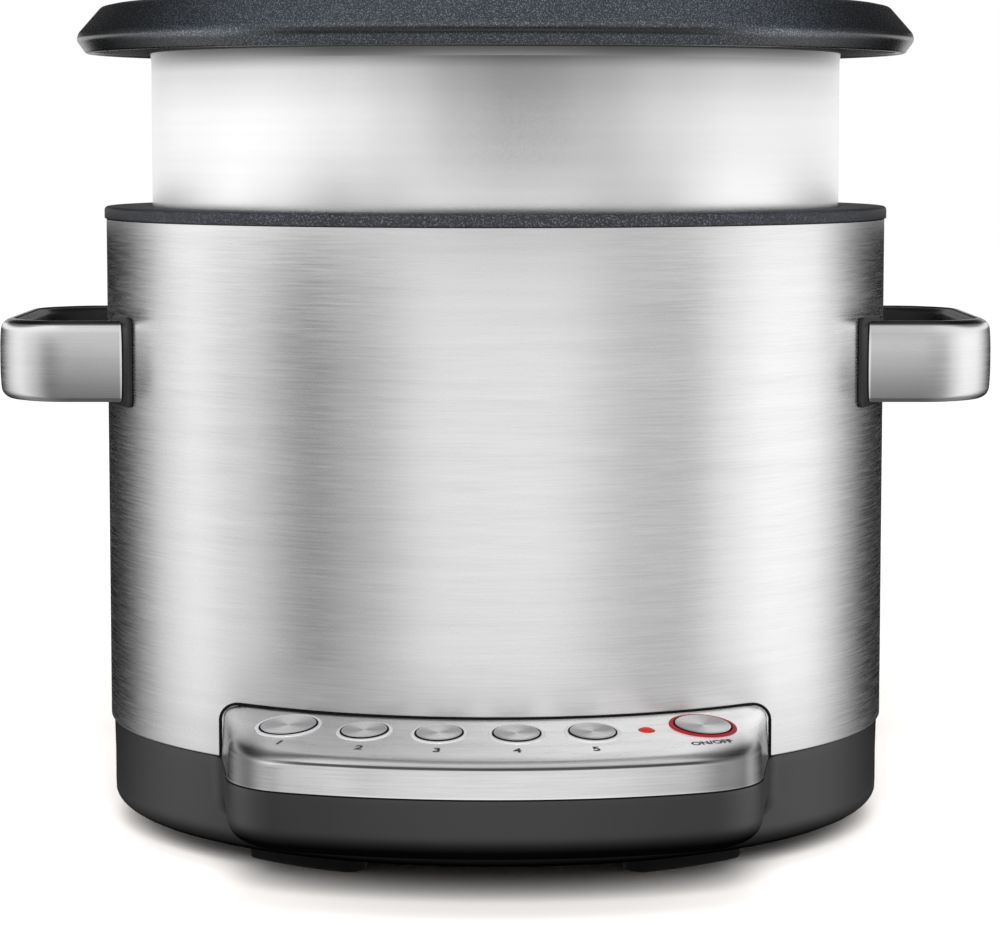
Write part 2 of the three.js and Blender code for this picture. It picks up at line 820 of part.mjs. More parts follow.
// Buttons and their rings
const ringSeat = -frameDepth + touchGap;
for (const { name, ring, turn, radius, ringWidth, finish } of controls) {
  const dish = radius * buttonDishShare;
  const cap = turned(outline([
    [0, -stemDepth],
    [stemRadius, -stemDepth],
    [stemRadius, -buttonSkirt],
    [radius, -buttonSkirt],
    [radius, buttonProud - buttonBevel],
    [radius - buttonBevel, buttonProud],
    [dish, buttonProud],
    [0, buttonProud - buttonDish],
  ]), smallSides);
  place(name, onLedge(cap, turn), buttonMetal);
  const bezel = turned(outline([
    [radius + touchGap, ringSeat],
    [radius + touchGap + ringWidth, ringSeat],
    [radius + touchGap + ringWidth, ringProud - ringBevel],
    [radius + touchGap + ringWidth - ringBevel, ringProud],
    [radius + touchGap, ringProud],
  ]), smallSides);
  place(ring, onLedge(bezel, turn), finish);
}
place('keep_warm_lens', onLedge(turned(outline([
  [0, ringSeat],
  [lampRadius, ringSeat],
  [lampRadius, lampProud - ringBevel],
  [lampRadius - ringBevel, lampProud],
  [0, lampProud],
]), pinSides), lampTurn), redLens);

// Base shell: a round tray with a fillet under it, and the bulge that carries on below the console
const ledgeUnder = baseBottom + coverThickness + touchGap;
const ledgeInner = coverRadius - coverLedge;
const baseRise = housingBottom - touchGap;
const baseTop = housingBottom + baseUpstand;
const trayProfile = [
  new THREE.Vector2(coverRadius + touchGap, ledgeUnder),
  new THREE.Vector2(coverRadius + touchGap, baseBottom),
];
for (let k = 0; k <= baseFilletSteps; k += 1) {
  const turn = (Math.PI / 2) * (k / baseFilletSteps);
  trayProfile.push(new THREE.Vector2(
    baseRadius - baseFilletReach * (1 - Math.sin(turn)),
    baseBottom + baseFilletRise * (1 - Math.cos(turn)),
  ));
}
trayProfile.push(
  new THREE.Vector2(baseTopRadius, baseRise),
  new THREE.Vector2(baseTopRadius, baseTop),
  new THREE.Vector2(baseTopRadius - baseWall, baseTop),
  new THREE.Vector2(baseRadius - baseWall, baseBottom + baseFilletRise + baseWall),
  new THREE.Vector2(baseRadius - baseFilletReach, baseFloorTop),
  new THREE.Vector2(coverRadius + baseWall, baseFloorTop),
  new THREE.Vector2(coverRadius, ledgeUnder + coverLedgeThickness),
  new THREE.Vector2(ledgeInner, ledgeUnder + coverLedgeThickness),
  new THREE.Vector2(ledgeInner, ledgeUnder),
);
const bulgeBack = baseRadius - baseWall - overrun;
function bulgeSolid(inset, back, bottom, top) {
  const outer = consoleRadius - inset;
  const body = turnedSolid([
    [back, bottom],
    [outer - bulgeDraft, bottom, Math.max(bulgeRound - inset, 0)],
    [outer, top],
    [back, top],
  ]);
  return body.intersect(solidOf(prism(consolePlan(inset), bottom - overrun, top + overrun)));
}
const bulge = bulgeSolid(0, baseRadius - baseWall / 2, bulgeBottom, baseRise);
const bulgeHollow = bulgeSolid(baseWall, bulgeBack, bulgeBottom + baseWall, baseTop + overrun);
let base = solidOf(turned(trayProfile)).add(bulge).subtract(bulgeHollow);
const inletBack = baseTopRadius + inletProud;
const inletHole = block(
  new THREE.Vector3(-inletHalfWidth - touchGap, baseRadius - baseWall - overrun, inletBottom - touchGap),
  new THREE.Vector3(
    inletHalfWidth + touchGap,
    baseRadius + overrun,
    inletBottom + inletHeight + touchGap,
  ),
);
base = base.subtract(solidOf(inletHole));
const screwPlaces = Array.from({ length: baseScrewCount }, (_, k) => (
  around(baseScrewCircle, Math.PI / baseScrewCount + (2 * Math.PI * k) / baseScrewCount)
));
for (const at of screwPlaces) {
  const holeTop = baseBottom + screwLength + overrun;
  const hole = rod(screwRadius + screwClearance, baseBottom - overrun, holeTop, pinSides);
  hole.translate(at.x, at.y, 0);
  base = base.subtract(solidOf(hole));
}
placeSolid('base_shell', base, basePlastic);

// Bottom cover with vent slots and sunk screw heads
let cover = solidOf(rod(coverRadius, baseBottom, baseBottom + coverThickness, ringSides));
for (let k = 0; k < ventCount; k += 1) {
  const y = (k - (ventCount - 1) / 2) * ventPitch;
  const slot = block(
    new THREE.Vector3(-ventLength / 2, y - ventWidth / 2, baseBottom - overrun),
    new THREE.Vector3(ventLength / 2, y + ventWidth / 2, baseBottom + overrun),
  );
  cover = cover.subtract(solidOf(slot));
}
const screwHeadTop = baseBottom + screwHeadHeight;
for (const at of screwPlaces) {
  const hole = rod(screwRadius + screwClearance, baseBottom - overrun, baseBottom + overrun, pinSides);
  const sink = rod(
    screwHeadRadius + screwClearance,
    baseBottom - overrun,
    screwHeadTop + screwClearance,
    pinSides,
  );
  for (const cut of [hole, sink]) {
    cut.translate(at.x, at.y, 0);
    cover = cover.subtract(solidOf(cut));
  }
}
placeSolid('bottom_cover', cover, blackPlastic);
screwPlaces.forEach((at, k) => {
  const screw = turned(outline([
    [0, baseBottom],
    [screwHeadRadius, baseBottom],
    [screwHeadRadius, screwHeadTop],
    [screwRadius, screwHeadTop],
    [screwRadius, baseBottom + screwLength],
    [0, baseBottom + screwLength],
  ]), pinSides);
  screw.translate(at.x, at.y, 0);
  place(`base_screw_${k + 1}`, screw, springSteel);
});

// Rubber feet
const feet = [
  ['foot_front_right', footStart, footEnd],
  ['foot_front_left', -footEnd, -footStart],
  ['foot_rear_right', Math.PI - footEnd, Math.PI - footStart],
  ['foot_rear_left', footStart - Math.PI, footEnd - Math.PI],
];
for (const [name, start, end] of feet) {
  place(name, arcBand(footInner, footOuter, start, end, footSteps, 0, footHeight), rubberBlack);
}

// Handles: a band that leaves the housing, turns a corner and comes back
function handleBand(inset, thickness, bottom, top, cut) {
  const outer = outline([
    [0, -handleHalfWidth + inset],
    [handleReach - inset, -handleHalfWidth + inset, handleCorner - inset],
    [handleReach - inset, handleHalfWidth - inset, handleCorner - inset],
    [0, handleHalfWidth - inset],
  ], handleArcSteps);
  const deep = inset + thickness;
  const inner = outline([
    [-overrun, -handleHalfWidth + deep],
    [handleReach - deep, -handleHalfWidth + deep, handleCorner - deep],
    [handleReach - deep, handleHalfWidth - deep, handleCorner - deep],
    [-overrun, handleHalfWidth - deep],
  ], handleArcSteps);
  return solidOf(prism(outer, bottom, top))
    .subtract(solidOf(prism(inner, bottom - overrun, top + overrun)))
    .subtract(solidOf(rod(cut, bottom - overrun, top + overrun, ringSides)));
}
function bracketSolid(front) {
  const inner = housingRadius + touchGap;
  const outer = inner + bracketThickness;
  const start = Math.acos(bracketInnerEdge / outer);
  const end = Math.acos(bracketEdge / outer);
  const [from, to] = front < 0 ? [end, start] : [Math.PI - start, Math.PI - end];
  const bottom = handleBottom - bracketMargin;
  const top = handleTop + bracketMargin;
  const band = arcBand(inner - bracketThickness, outer, from, to, bracketSteps, bottom, top);
  return solidOf(band).subtract(solidOf(rod(inner, bottom - overrun, top + overrun, ringSides)));
}
const bandStart = housingRadius + bracketThickness + 2 * touchGap;
const mirrorX = new THREE.Matrix4().makeScale(-1, 1, 1);
function mirroredGeometry(geometry) {
  const copy = geometry.clone();
  copy.applyMatrix4(mirrorX);
  const index = copy.getIndex().array;
  for (let i = 0; i < index.length; i += 3) [index[i], index[i + 1]] = [index[i + 1], index[i]];
  return copy;
}
function placePair(name, solid, finish, suffix = '') {
  const geometry = geometryOf(solid);
  place(`${name}_right${suffix}`, geometry, finish);
  place(`${name}_left${suffix}`, mirroredGeometry(geometry), finish);
}
placePair('handle_cover', handleBand(0, coverSheet, handleBottom, handleTop, bandStart), brushedSteel);
const screwHeadLine = Math.sqrt(housingInner ** 2 - (handleScrewLine + handleScrewHead) ** 2) - touchGap;
const coreBoreEnd = screwHeadLine + handleScrewLength + overrun;
let core = handleBand(
  coverSheet + touchGap,
  coreThickness,
  handleBottom + coreDrop,
  handleTop - coreDrop,
  bandStart,
);
for (const front of handleSides) {
  const bore = acrossRod(
    handleScrewRadius + screwClearance,
    0,
    coreBoreEnd,
    front * handleScrewLine,
    handleMiddle,
  );
  core = core.subtract(solidOf(bore));
}
placePair('handle_core', core, blackPlastic);
for (const front of handleSides) {
  const bore = acrossRod(
    handleScrewRadius + screwClearance,
    0,
    handleReach,
    front * handleScrewLine,
    handleMiddle,
  );
  const bracket = bracketSolid(front).subtract(solidOf(bore));
  placePair('handle_bracket', bracket, darkTrim, front < 0 ? '_front' : '_rear');
}
function handleScrew(side, front) {
  const screw = turned(outline([
    [0, -handleScrewHeadHeight],
    [handleScrewHead, -handleScrewHeadHeight],
    [handleScrewHead, 0],
    [handleScrewRadius, 0],
    [handleScrewRadius, handleScrewLength],
    [0, handleScrewLength],
  ]), pinSides);
  screw.rotateY(side * (Math.PI / 2));
  screw.translate(side * screwHeadLine, front * handleScrewLine, handleMiddle);
  return screw;
}
handleSides.flatMap((side) => handleSides.map((front) => handleScrew(side, front))).forEach((screw, k) => {
  place(`handle_screw_${k + 1}`, screw, springSteel);
});

// Mains inlet: a box with a socket that opens to the back, and its three pins
const inletFront = inletBack - inletDepth;
const socketFloor = inletBack - inletSocketDepth;
const inletTop = inletBottom + inletHeight;
const inlet = solidOf(block(
  new THREE.Vector3(-inletHalfWidth, inletFront, inletBottom),
  new THREE.Vector3(inletHalfWidth, inletBack, inletTop),
)).subtract(solidOf(block(
  new THREE.Vector3(-inletHalfWidth + inletWall, socketFloor, inletBottom + inletWall),
  new THREE.Vector3(inletHalfWidth - inletWall, inletBack + overrun, inletTop - inletWall),
)));
placeSolid('mains_inlet', inlet, blackPlastic);
const inletMiddle = (inletBottom + inletTop) / 2;
const pinPlaces = [[-pinSpread, 0], [0, pinEarthDrop], [pinSpread, 0]];
const pinFloor = socketFloor + touchGap;
const pins = pinPlaces.map(([x, up]) => solidOf(block(
  new THREE.Vector3(x - pinWidth / 2, pinFloor, inletMiddle + up - pinHeight / 2),
  new THREE.Vector3(x + pinWidth / 2, pinFloor + pinLength, inletMiddle + up + pinHeight / 2),
)));
const pinPlate = solidOf(block(
  new THREE.Vector3(-pinSpread - pinWidth, pinFloor, inletMiddle - pinHeight),
  new THREE.Vector3(
    pinSpread + pinWidth,
    pinFloor + pinPlateThickness,
    inletMiddle + pinEarthDrop + pinHeight / 2,
  ),
));
placeSolid('inlet_pins', joined([pinPlate, ...pins]), springSteel);

// Power board on four pegs above the bottom cover's ledge, with its relay and transformer
const boardLow = powerBoardPlace.clone().sub(new THREE.Vector2(powerBoardSize.x / 2, powerBoardSize.y / 2));
const boardHigh = powerBoardPlace.clone().add(new THREE.Vector2(powerBoardSize.x / 2, powerBoardSize.y / 2));
const powerBoardTop = powerBoardLevel + powerBoardSize.z;
let powerBoard = solidOf(block(
  new THREE.Vector3(boardLow.x, boardLow.y, powerBoardLevel),
  new THREE.Vector3(boardHigh.x, boardHigh.y, powerBoardTop),
));
const pegFoot = baseBottom + coverThickness + touchGap;
for (const x of [boardLow.x + powerBoardPostInset, boardHigh.x - powerBoardPostInset]) {
  for (const y of [boardLow.y + powerBoardPostInset, boardHigh.y - powerBoardPostInset]) {
    const peg = rod(powerBoardPost, pegFoot, powerBoardTop - powerBoardSize.z / 2, pinSides);
    peg.translate(x, y, 0);
    powerBoard = powerBoard.add(solidOf(peg));
  }
}
placeSolid('power_board', powerBoard, boardGreen);
function onBoard(size, at) {
  return block(
    new THREE.Vector3(at.x - size.x / 2, at.y - size.y / 2, powerBoardTop + touchGap),
    new THREE.Vector3(at.x + size.x / 2, at.y + size.y / 2, powerBoardTop + touchGap + size.z),
  );
}
const connectorHalf = terminalSpread + connectorWall;
const relayPlace = new THREE.Vector2(connectorHalf + relayGap + relaySize.x / 2, coverRadius * relayShare);
place('relay', onBoard(relaySize, relayPlace), blackPlastic);
const windings = new THREE.Vector3(
  transformerSize.x - 2 * transformerLamination,
  transformerSize.y + transformerWindow,
  transformerSize.z - transformerLamination,
);
const transformerPlace = new THREE.Vector2(
  -connectorHalf - transformerGap - transformerSize.x / 2,
  coverRadius * transformerShare,
);
const transformer = solidOf(onBoard(transformerSize, transformerPlace))
  .add(solidOf(onBoard(windings, transformerPlace)));
placeSolid('transformer', transformer, copperTone);

// Leads from the board up to the element, and from the inlet to the board
const terminalFoot = elementLevel - terminalLength - touchGap;
const connectorFloor = powerBoardTop + touchGap;
function connector(halfWidth, y) {
  return solidOf(block(
    new THREE.Vector3(-halfWidth - connectorWall, y - connectorDepth / 2, connectorFloor),
    new THREE.Vector3(halfWidth + connectorWall, y + connectorDepth / 2, connectorFloor + connectorHeight),
  ));
}
const heaterFoot = boardHigh.y - leadLoopIn;
const heaterTop = around(elementRadius, terminalTurns[0]);
const heaterLeads = terminalTurns.map((turn) => {
  const top = around(elementRadius, turn);
  const footLevel = connectorFloor + connectorHeight / 2;
  return solidOf(tubeAlong([
    new THREE.Vector3(top.x, heaterFoot, footLevel),
    new THREE.Vector3(top.x, heaterFoot, (footLevel + terminalFoot) / 2),
    new THREE.Vector3(top.x, top.y, (footLevel + 2 * terminalFoot) / 3),
    new THREE.Vector3(top.x, top.y, terminalFoot),
  ], leadRadius, leadSides, leadSteps));
});
const heaterConnector = connector(Math.abs(heaterTop.x), heaterFoot);
placeSolid('heater_leads', joined([heaterConnector, ...heaterLeads]), rubberBlack);
const mainsFoot = boardHigh.y - connectorDepth;
const mainsLeads = [-1, 1].map((side) => {
  const x = side * pinSpread;
  const footLevel = connectorFloor + connectorHeight / 2;
  return solidOf(tubeAlong([
    new THREE.Vector3(x, inletFront - touchGap, inletMiddle),
    new THREE.Vector3(x, (inletFront + boardHigh.y) / 2, inletMiddle),
    new THREE.Vector3(x, boardHigh.y, footLevel + mainsLeadDrop),
    new THREE.Vector3(x, mainsFoot, footLevel),
  ], leadRadius, leadSides, leadSteps));
});
placeSolid('mains_leads', joined([connector(pinSpread, mainsFoot), ...mainsLeads]), rubberBlack);

// Ribbon from the control board through the housing slot and down to the power board
const ribbonPath = [
  [-boardInner - ribbonSag, boardTop + touchGap + ribbonThickness],
  [-housingRadius - ribbonSag, ribbonLevel + ribbonSlotClearance + ribbonThickness / 2],
  [-housingInner + ribbonSag, ribbonLevel + ribbonSlotClearance + ribbonThickness / 2],
  [-legCircle, powerBoardTop + 2 * ribbonSag],
  [boardLow.y + ribbonSag, powerBoardTop + touchGap + ribbonThickness],
];
const ribbonCurve = new THREE.CatmullRomCurve3(ribbonPath.map(([y, z]) => new THREE.Vector3(0, y, z)));
const ribbonEdge = ribbonCurve.getPoints(leadSteps * 2);
const ribbonOutline = [];
for (const point of ribbonEdge) ribbonOutline.push(new THREE.Vector2(point.y, point.z + ribbonThickness / 2));
for (const point of [...ribbonEdge].reverse()) {
  ribbonOutline.push(new THREE.Vector2(point.y, point.z - ribbonThickness / 2));
}
const ribbon = prism(ribbonOutline, -ribbonWidth / 2, ribbonWidth / 2);
ribbon.applyMatrix4(new THREE.Matrix4().makeBasis(
  new THREE.Vector3(0, 1, 0),
  new THREE.Vector3(0, 0, 1),
  new THREE.Vector3(1, 0, 0),
));
place('panel_ribbon', ribbon, whiteCover);

// The origin goes under the middle of the box: the console leads in front and the flange behind
const extent = new THREE.Box3().setFromObject(part, true);
part.position.y = -(extent.min.y + extent.max.y) / 2;

export default part;
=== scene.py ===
from math import asin, atan, atan2, cos, pi, radians, sin, sqrt, tan

import bmesh
import bpy
from mathutils import Matrix, Vector


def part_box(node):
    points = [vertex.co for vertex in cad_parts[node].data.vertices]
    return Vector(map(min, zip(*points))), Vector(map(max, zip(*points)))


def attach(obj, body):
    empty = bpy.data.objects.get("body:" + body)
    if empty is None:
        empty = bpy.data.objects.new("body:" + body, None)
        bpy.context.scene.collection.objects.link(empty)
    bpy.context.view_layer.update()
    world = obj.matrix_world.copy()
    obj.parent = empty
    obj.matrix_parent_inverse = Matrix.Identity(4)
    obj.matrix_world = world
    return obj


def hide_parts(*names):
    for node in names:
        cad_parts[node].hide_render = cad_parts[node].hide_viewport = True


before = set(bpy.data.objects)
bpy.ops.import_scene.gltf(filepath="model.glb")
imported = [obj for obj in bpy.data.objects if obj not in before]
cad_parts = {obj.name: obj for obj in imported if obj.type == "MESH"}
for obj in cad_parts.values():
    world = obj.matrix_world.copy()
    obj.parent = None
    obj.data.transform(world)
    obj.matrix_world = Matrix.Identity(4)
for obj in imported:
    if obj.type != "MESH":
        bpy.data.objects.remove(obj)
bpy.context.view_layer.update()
mm = 0.001
shellLow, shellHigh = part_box("housing_shell")
# the housing's axis stands behind the origin, because the console leads
axisY = (shellLow.y + shellHigh.y) / 2
axis = Vector((0, axisY, 0))


# Paths and meshes

def eased(share):
    share = min(max(share, 0), 1)
    return share * share * (3 - 2 * share)


def quarter(steps, first=1):
    # sine and cosine at even steps of a quarter turn
    angles = [pi / 2 * k / steps for k in range(first, steps + 1)]
    return [(sin(angle), cos(angle)) for angle in angles]


def around(turn, radius, level):
    # the point in metres at a turn round the housing's axis, front at 0, from lengths in millimetres
    return Vector((sin(turn) * radius, -cos(turn) * radius, level)) * mm + axis


def added(name, data):
    made = bpy.data.objects.new(name, data)
    bpy.context.scene.collection.objects.link(made)
    return made


def roundedPath(corners, steps=8):
    # corners are (across, up) or (across, up, radius), in millimetres, and the path closes on itself
    path = []
    for index, corner in enumerate(corners):
        here = Vector(corner[:2])
        if len(corner) < 3:
            path.append(here)
            continue
        back = Vector(corners[index - 1][:2]) - here
        ahead = Vector(corners[(index + 1) % len(corners)][:2]) - here
        half = back.angle(ahead) / 2
        reach = min(corner[2] / tan(half), 0.48 * back.length, 0.48 * ahead.length)
        size = reach * tan(half)
        middle = here + (back.normalized() + ahead.normalized()).normalized() * (size / sin(half))
        start = here + back.normalized() * reach - middle
        end = here + ahead.normalized() * reach - middle
        turn = start.angle_signed(end)
        for step in range(steps + 1):
            path.append(middle + Matrix.Rotation(-turn * step / steps, 2) @ start)
    return path


def latheMesh(path, sides, place=None):
    # turns a closed path of (radius, level) in millimetres about an axis, with a UV round and along it
    place = place or Matrix.Translation(axis)
    bm = bmesh.new()
    uv = bm.loops.layers.uv.new("turned")
    rings = []
    for radius, level in path:
        angles = [2 * pi * side / sides for side in range(sides if radius > 0.0001 else 1)]
        spots = [Vector((radius * sin(angle), -radius * cos(angle), level)) * mm for angle in angles]
        rings.append([bm.verts.new(place @ spot) for spot in spots])
    along = 0
    for index, ring in enumerate(rings):
        after = (index + 1) % len(rings)
        step = (Vector(path[after]) - Vector(path[index])).length * mm
        if len(ring) == 1 and len(rings[after]) == 1:
            continue
        for side in range(sides):
            corners = []
            for line, height, order in ((ring, along, (0, 1)), (rings[after], along + step, (1, 0))):
                if len(line) == 1:
                    corners.append((line[0], (side + 0.5) / sides, height))
                else:
                    corners += [(line[(side + k) % sides], (side + k) / sides, height) for k in order]
            face = bm.faces.new([corner[0] for corner in corners])
            for loop, corner in zip(face.loops, corners):
                loop[uv].uv = corner[1:]
        along += step
    bmesh.ops.recalc_face_normals(bm, faces=bm.faces)
    return bm


def rowsMesh(rows, closedRow=True, closedLoop=False, capped=False, bowed=False):
    # rows of equal numbers of points in metres, joined into quads; a bowed last cap is cut into triangles
    bm = bmesh.new()
    lines = [[bm.verts.new(point) for point in row] for row in rows]
    count = len(lines)
    for index in range(count if closedLoop else count - 1):
        line, other = lines[index], lines[(index + 1) % count]
        for spot in range(len(line) if closedRow else len(line) - 1):
            after = (spot + 1) % len(line)
            bm.faces.new((line[spot], line[after], other[after], other[spot]))
    if capped:
        bm.faces.new(lines[0])
        cap = bm.faces.new(lines[-1])
        if bowed:
            bmesh.ops.triangulate(bm, faces=[cap], ngon_method="BEAUTY")
    bmesh.ops.recalc_face_normals(bm, faces=bm.faces)
    return bm


def tubeMesh(points, radius, sides=8):
    # a closed tube along points in metres
    rows = []
    for index, point in enumerate(points):
        along = (points[min(index + 1, len(points) - 1)] - points[max(index - 1, 0)]).normalized()
        side = along.cross(Vector((0, 0, 1)))
        if side.length < 0.2:
            side = along.cross(Vector((0, 1, 0)))
        side.normalize()
        up = side.cross(along)
        angles = [2 * pi * k / sides for k in range(sides)]
        rows.append([point + side * (radius * cos(a)) + up * (radius * sin(a)) for a in angles])
    return rowsMesh(rows, capped=True)


def objectFrom(bm, name):
    mesh = bpy.data.meshes.new(name)
    bm.to_mesh(mesh)
    bm.free()
    return added(name, mesh)


def smoothed(mesh, sharp=32):
    for polygon in mesh.polygons:
        polygon.use_smooth = True
    mesh.set_sharp_from_angle(angle=radians(sharp))


def dress(piece, paints, slot, body="housing", stands=(), sharp=32):
    for name in paints:
        piece.data.materials.append(finishes[name].material)
    smoothed(piece.data, sharp)
    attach(piece, body)
    if stands:
        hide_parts(*stands)
    return piece


def pieceFrom(bm, name, paints, **says):
    return dress(objectFrom(bm, name), paints, **says)


def bakedMesh(holder, name):
    # the mesh that an object has once its modifiers are worked out
    bpy.context.view_layer.update()
    evaluated = holder.evaluated_get(bpy.context.evaluated_depsgraph_get())
    mesh = bpy.data.meshes.new_from_object(evaluated)
    mesh.name = name
    return mesh


def cutOut(shape, cutter, name):
    # shape without cutter, with the curved faces still shaded as before the cut
    smoothed(shape.data)
    work = added(name + "Cut", shape.data)
    cut = work.modifiers.new("cut", "BOOLEAN")
    cut.operation = "DIFFERENCE"
    cut.solver = "EXACT"
    cut.object = cutter
    shading = work.modifiers.new("shading", "DATA_TRANSFER")
    shading.object = shape
    shading.use_loop_data = True
    shading.data_types_loops = {"CUSTOM_NORMAL"}
    shading.loop_mapping = "NEAREST_POLYNOR"
    shading.use_max_distance = True
    shading.max_distance = 0.02 * mm
    mesh = bakedMesh(work, name)
    for made in (work, shape, cutter):
        bpy.data.objects.remove(made)
    return added(name, mesh)


# Node trees

class Wire:
    # one value in a node tree, so that sums and products of it add their own Math nodes
    def __init__(self, tree, socket):
        self.tree = tree
        self.socket = socket

    def sum(self, operation, first, second=0):
        return self.tree.node("ShaderNodeMath", {"operation": operation}, {0: first, 1: second})

    def __add__(self, other):
        return self.sum("ADD", self, other)

    def __radd__(self, other):
        return self.sum("ADD", other, self)

    def __sub__(self, other):
        return self.sum("SUBTRACT", self, other)

    def __rsub__(self, other):
        return self.sum("SUBTRACT", other, self)

    def __mul__(self, other):
        return self.sum("MULTIPLY", self, other)

    def __rmul__(self, other):
        return self.sum("MULTIPLY", other, self)

    def __abs__(self):
        return self.sum("ABSOLUTE", self)

    def ramp(self, low, high, lowShade, highShade):
        # a soft step of a length, in millimetres, from one shade to another
        return self.tree.node("ShaderNodeMapRange", {"interpolation_type": "SMOOTHSTEP"}, {
            0: self, 1: low * mm, 2: high * mm, 3: lowShade, 4: highShade})


class Tree:
    # a node tree whose nodes take plain values and wires alike
    def __init__(self, nodeTree):
        self.nodeTree = nodeTree
        nodeTree.nodes.clear()

    def feed(self, socket, value):
        if isinstance(value, Wire):
            self.nodeTree.links.new(value.socket, socket)
        else:
            socket.default_value = value

    def node(self, kind, settings=None, values=None, output=0):
        made = self.nodeTree.nodes.new(kind)
        for label, value in (settings or {}).items():
            setattr(made, label, value)
        for label, value in (values or {}).items():
            self.feed(made.inputs[label], value)
        return Wire(self, made.outputs[output] if made.outputs else None)

    def vector(self, x, y, z=0):
        return self.node("ShaderNodeCombineXYZ", values={0: x, 1: y, 2: z})


class Grower(Tree):
    # a Geometry Nodes tree with named inputs, whose result is one plain mesh
    def __init__(self, name, inputs):
        group = bpy.data.node_groups.new(name, "GeometryNodeTree")
        super().__init__(group)
        self.sockets = {}
        for label, kind in inputs.items():
            made = group.interface.new_socket(name=label, in_out="INPUT", socket_type="NodeSocket" + kind)
            self.sockets[label] = made.identifier
        group.interface.new_socket(name="Geometry", in_out="OUTPUT", socket_type="NodeSocketGeometry")
        self.source = group.nodes.new("NodeGroupInput")

    def given(self, label):
        return Wire(self, self.source.outputs[label])

    def close(self, geometry):
        real = self.node("GeometryNodeRealizeInstances", values={"Geometry": geometry})
        painted = self.node("GeometryNodeSetMaterial", values={
            "Geometry": real, "Material": self.given("Finish")})
        self.node("NodeGroupOutput", values={"Geometry": painted})

    def grow(self, values, name, place):
        # the object that the tree gives for these inputs, with its place in the mesh
        holder = added(name + "Holder", bpy.data.meshes.new(name + "Holder"))
        grower = holder.modifiers.new("grower", "NODES")
        grower.node_group = self.nodeTree
        for label, value in values.items():
            grower[self.sockets[label]] = value
        mesh = bakedMesh(holder, name)
        holder.modifiers.remove(grower)
        bpy.data.objects.remove(holder)
        mesh.transform(place)
        bm = bmesh.new()
        bm.from_mesh(mesh)
        bmesh.ops.recalc_face_normals(bm, faces=bm.faces)
        bm.to_mesh(mesh)
        bm.free()
        return added(name, mesh)


finishes = {}


class Finish(Tree):
    # one material with its Principled shader
    def __init__(self, name, **constants):
        self.material = bpy.data.materials.new(name)
        self.material.use_nodes = True
        super().__init__(self.material.node_tree)
        self.shader = self.nodeTree.nodes.new("ShaderNodeBsdfPrincipled")
        self.node("ShaderNodeOutputMaterial", values={"Surface": Wire(self, self.shader.outputs["BSDF"])})
        for label, value in constants.items():
            self.set(label.replace("_", " "), value)
        finishes[name] = self

    def set(self, label, value):
        self.feed(self.shader.inputs[label], value)

    def place(self):
        return self.node("ShaderNodeTexCoord", output="Object")

    def split(self, vector):
        first = self.node("ShaderNodeSeparateXYZ", values={0: vector})
        return [Wire(self, socket) for socket in first.socket.node.outputs]

    def roundTheAxis(self):
        # place round the housing as a length of arc, and height, both in metres
        x, y, z = self.split(self.place())
        return x.sum("ARCTAN2", x, (y - axisY) * -1) * 0.14, z

    def noise(self, vector, scale, detail=2, rough=0.5):
        return self.node("ShaderNodeTexNoise", values={
            "Vector": vector, "Scale": scale, "Detail": detail, "Roughness": rough})

    def span(self, value, low, high):
        # the middle of a noise, from 0.3 to 0.7, spread from low to high
        return self.node("ShaderNodeMapRange", values={0: value, 1: 0.3, 2: 0.7, 3: low, 4: high})

    def blend(self, share, first, second, kind="MIX"):
        return self.node("ShaderNodeMix", {"data_type": "RGBA", "blend_type": kind},
                         {0: share, 6: first, 7: second}, 2)

    def grey(self, level):
        return self.node("ShaderNodeCombineColor", values={0: level, 1: level, 2: level})

    def fed(self, label):
        return Wire(self, self.shader.inputs[label].links[0].from_socket)

    def shade(self, share):
        # multiplies the colour that the finish already has, to paint light and shade onto it
        self.set("Base Color", self.blend(1, self.fed("Base Color"), self.grey(share), "MULTIPLY"))

    def surface(self, colour, grain, smooth, rough, strength, depth):
        # the grain's hollows are the smoothest and its crests the roughest
        self.set("Base Color", colour)
        self.set("Roughness", self.span(grain, smooth, rough))
        self.set("Normal", self.node("ShaderNodeBump", values={
            "Height": grain, "Strength": strength, "Distance": depth}))


# Finishes

def scaled(colour, share):
    return [v * share for v in colour] + [1]


def brushed(name, light, dark, rough, lines, streak, haze=0):
    # sheet metal brushed round the axis, with streaks of a length and a thickness in metres, rougher by haze
    # above the console
    finish = Finish(name, Metallic=1)
    turn, level = finish.roundTheAxis()
    fine = finish.noise(finish.vector(turn * (1 / lines), level * (1 / streak)), 1, 3, 0.6)
    broad = finish.noise(finish.vector(turn * (0.2 / lines), level * (0.12 / streak), 3), 1)
    streaks = finish.grey(finish.span(fine * 0.65 + broad * 0.35, dark, light))
    finish.surface(streaks, fine, rough - 0.05, rough + 0.05, 0.06, 0.00004)
    hazy = level.ramp(58, 80, haze, 0) * abs(turn).ramp(85, 105, 1, 0)
    finish.set("Roughness", finish.fed("Roughness") + hazy)


def flecked(name, base, fleck, rough, size, **constants):
    # a dark coat with fine pale flecks
    finish = Finish(name, **constants)
    grain = finish.noise(finish.place(), 1 / size, 1)
    cloud = finish.noise(finish.place(), 40, 3)
    spots = finish.node("ShaderNodeMapRange", values={0: grain, 1: 0.57, 2: 0.63, 3: 0, 4: 1})
    ground = finish.blend(finish.span(cloud, 0, 1), scaled(base, 1), scaled(base, 1.25))
    coat = finish.blend(spots, ground, scaled(fleck, 1))
    finish.surface(coat, grain, rough - 0.05, rough + 0.06, 0.12, 0.00006)


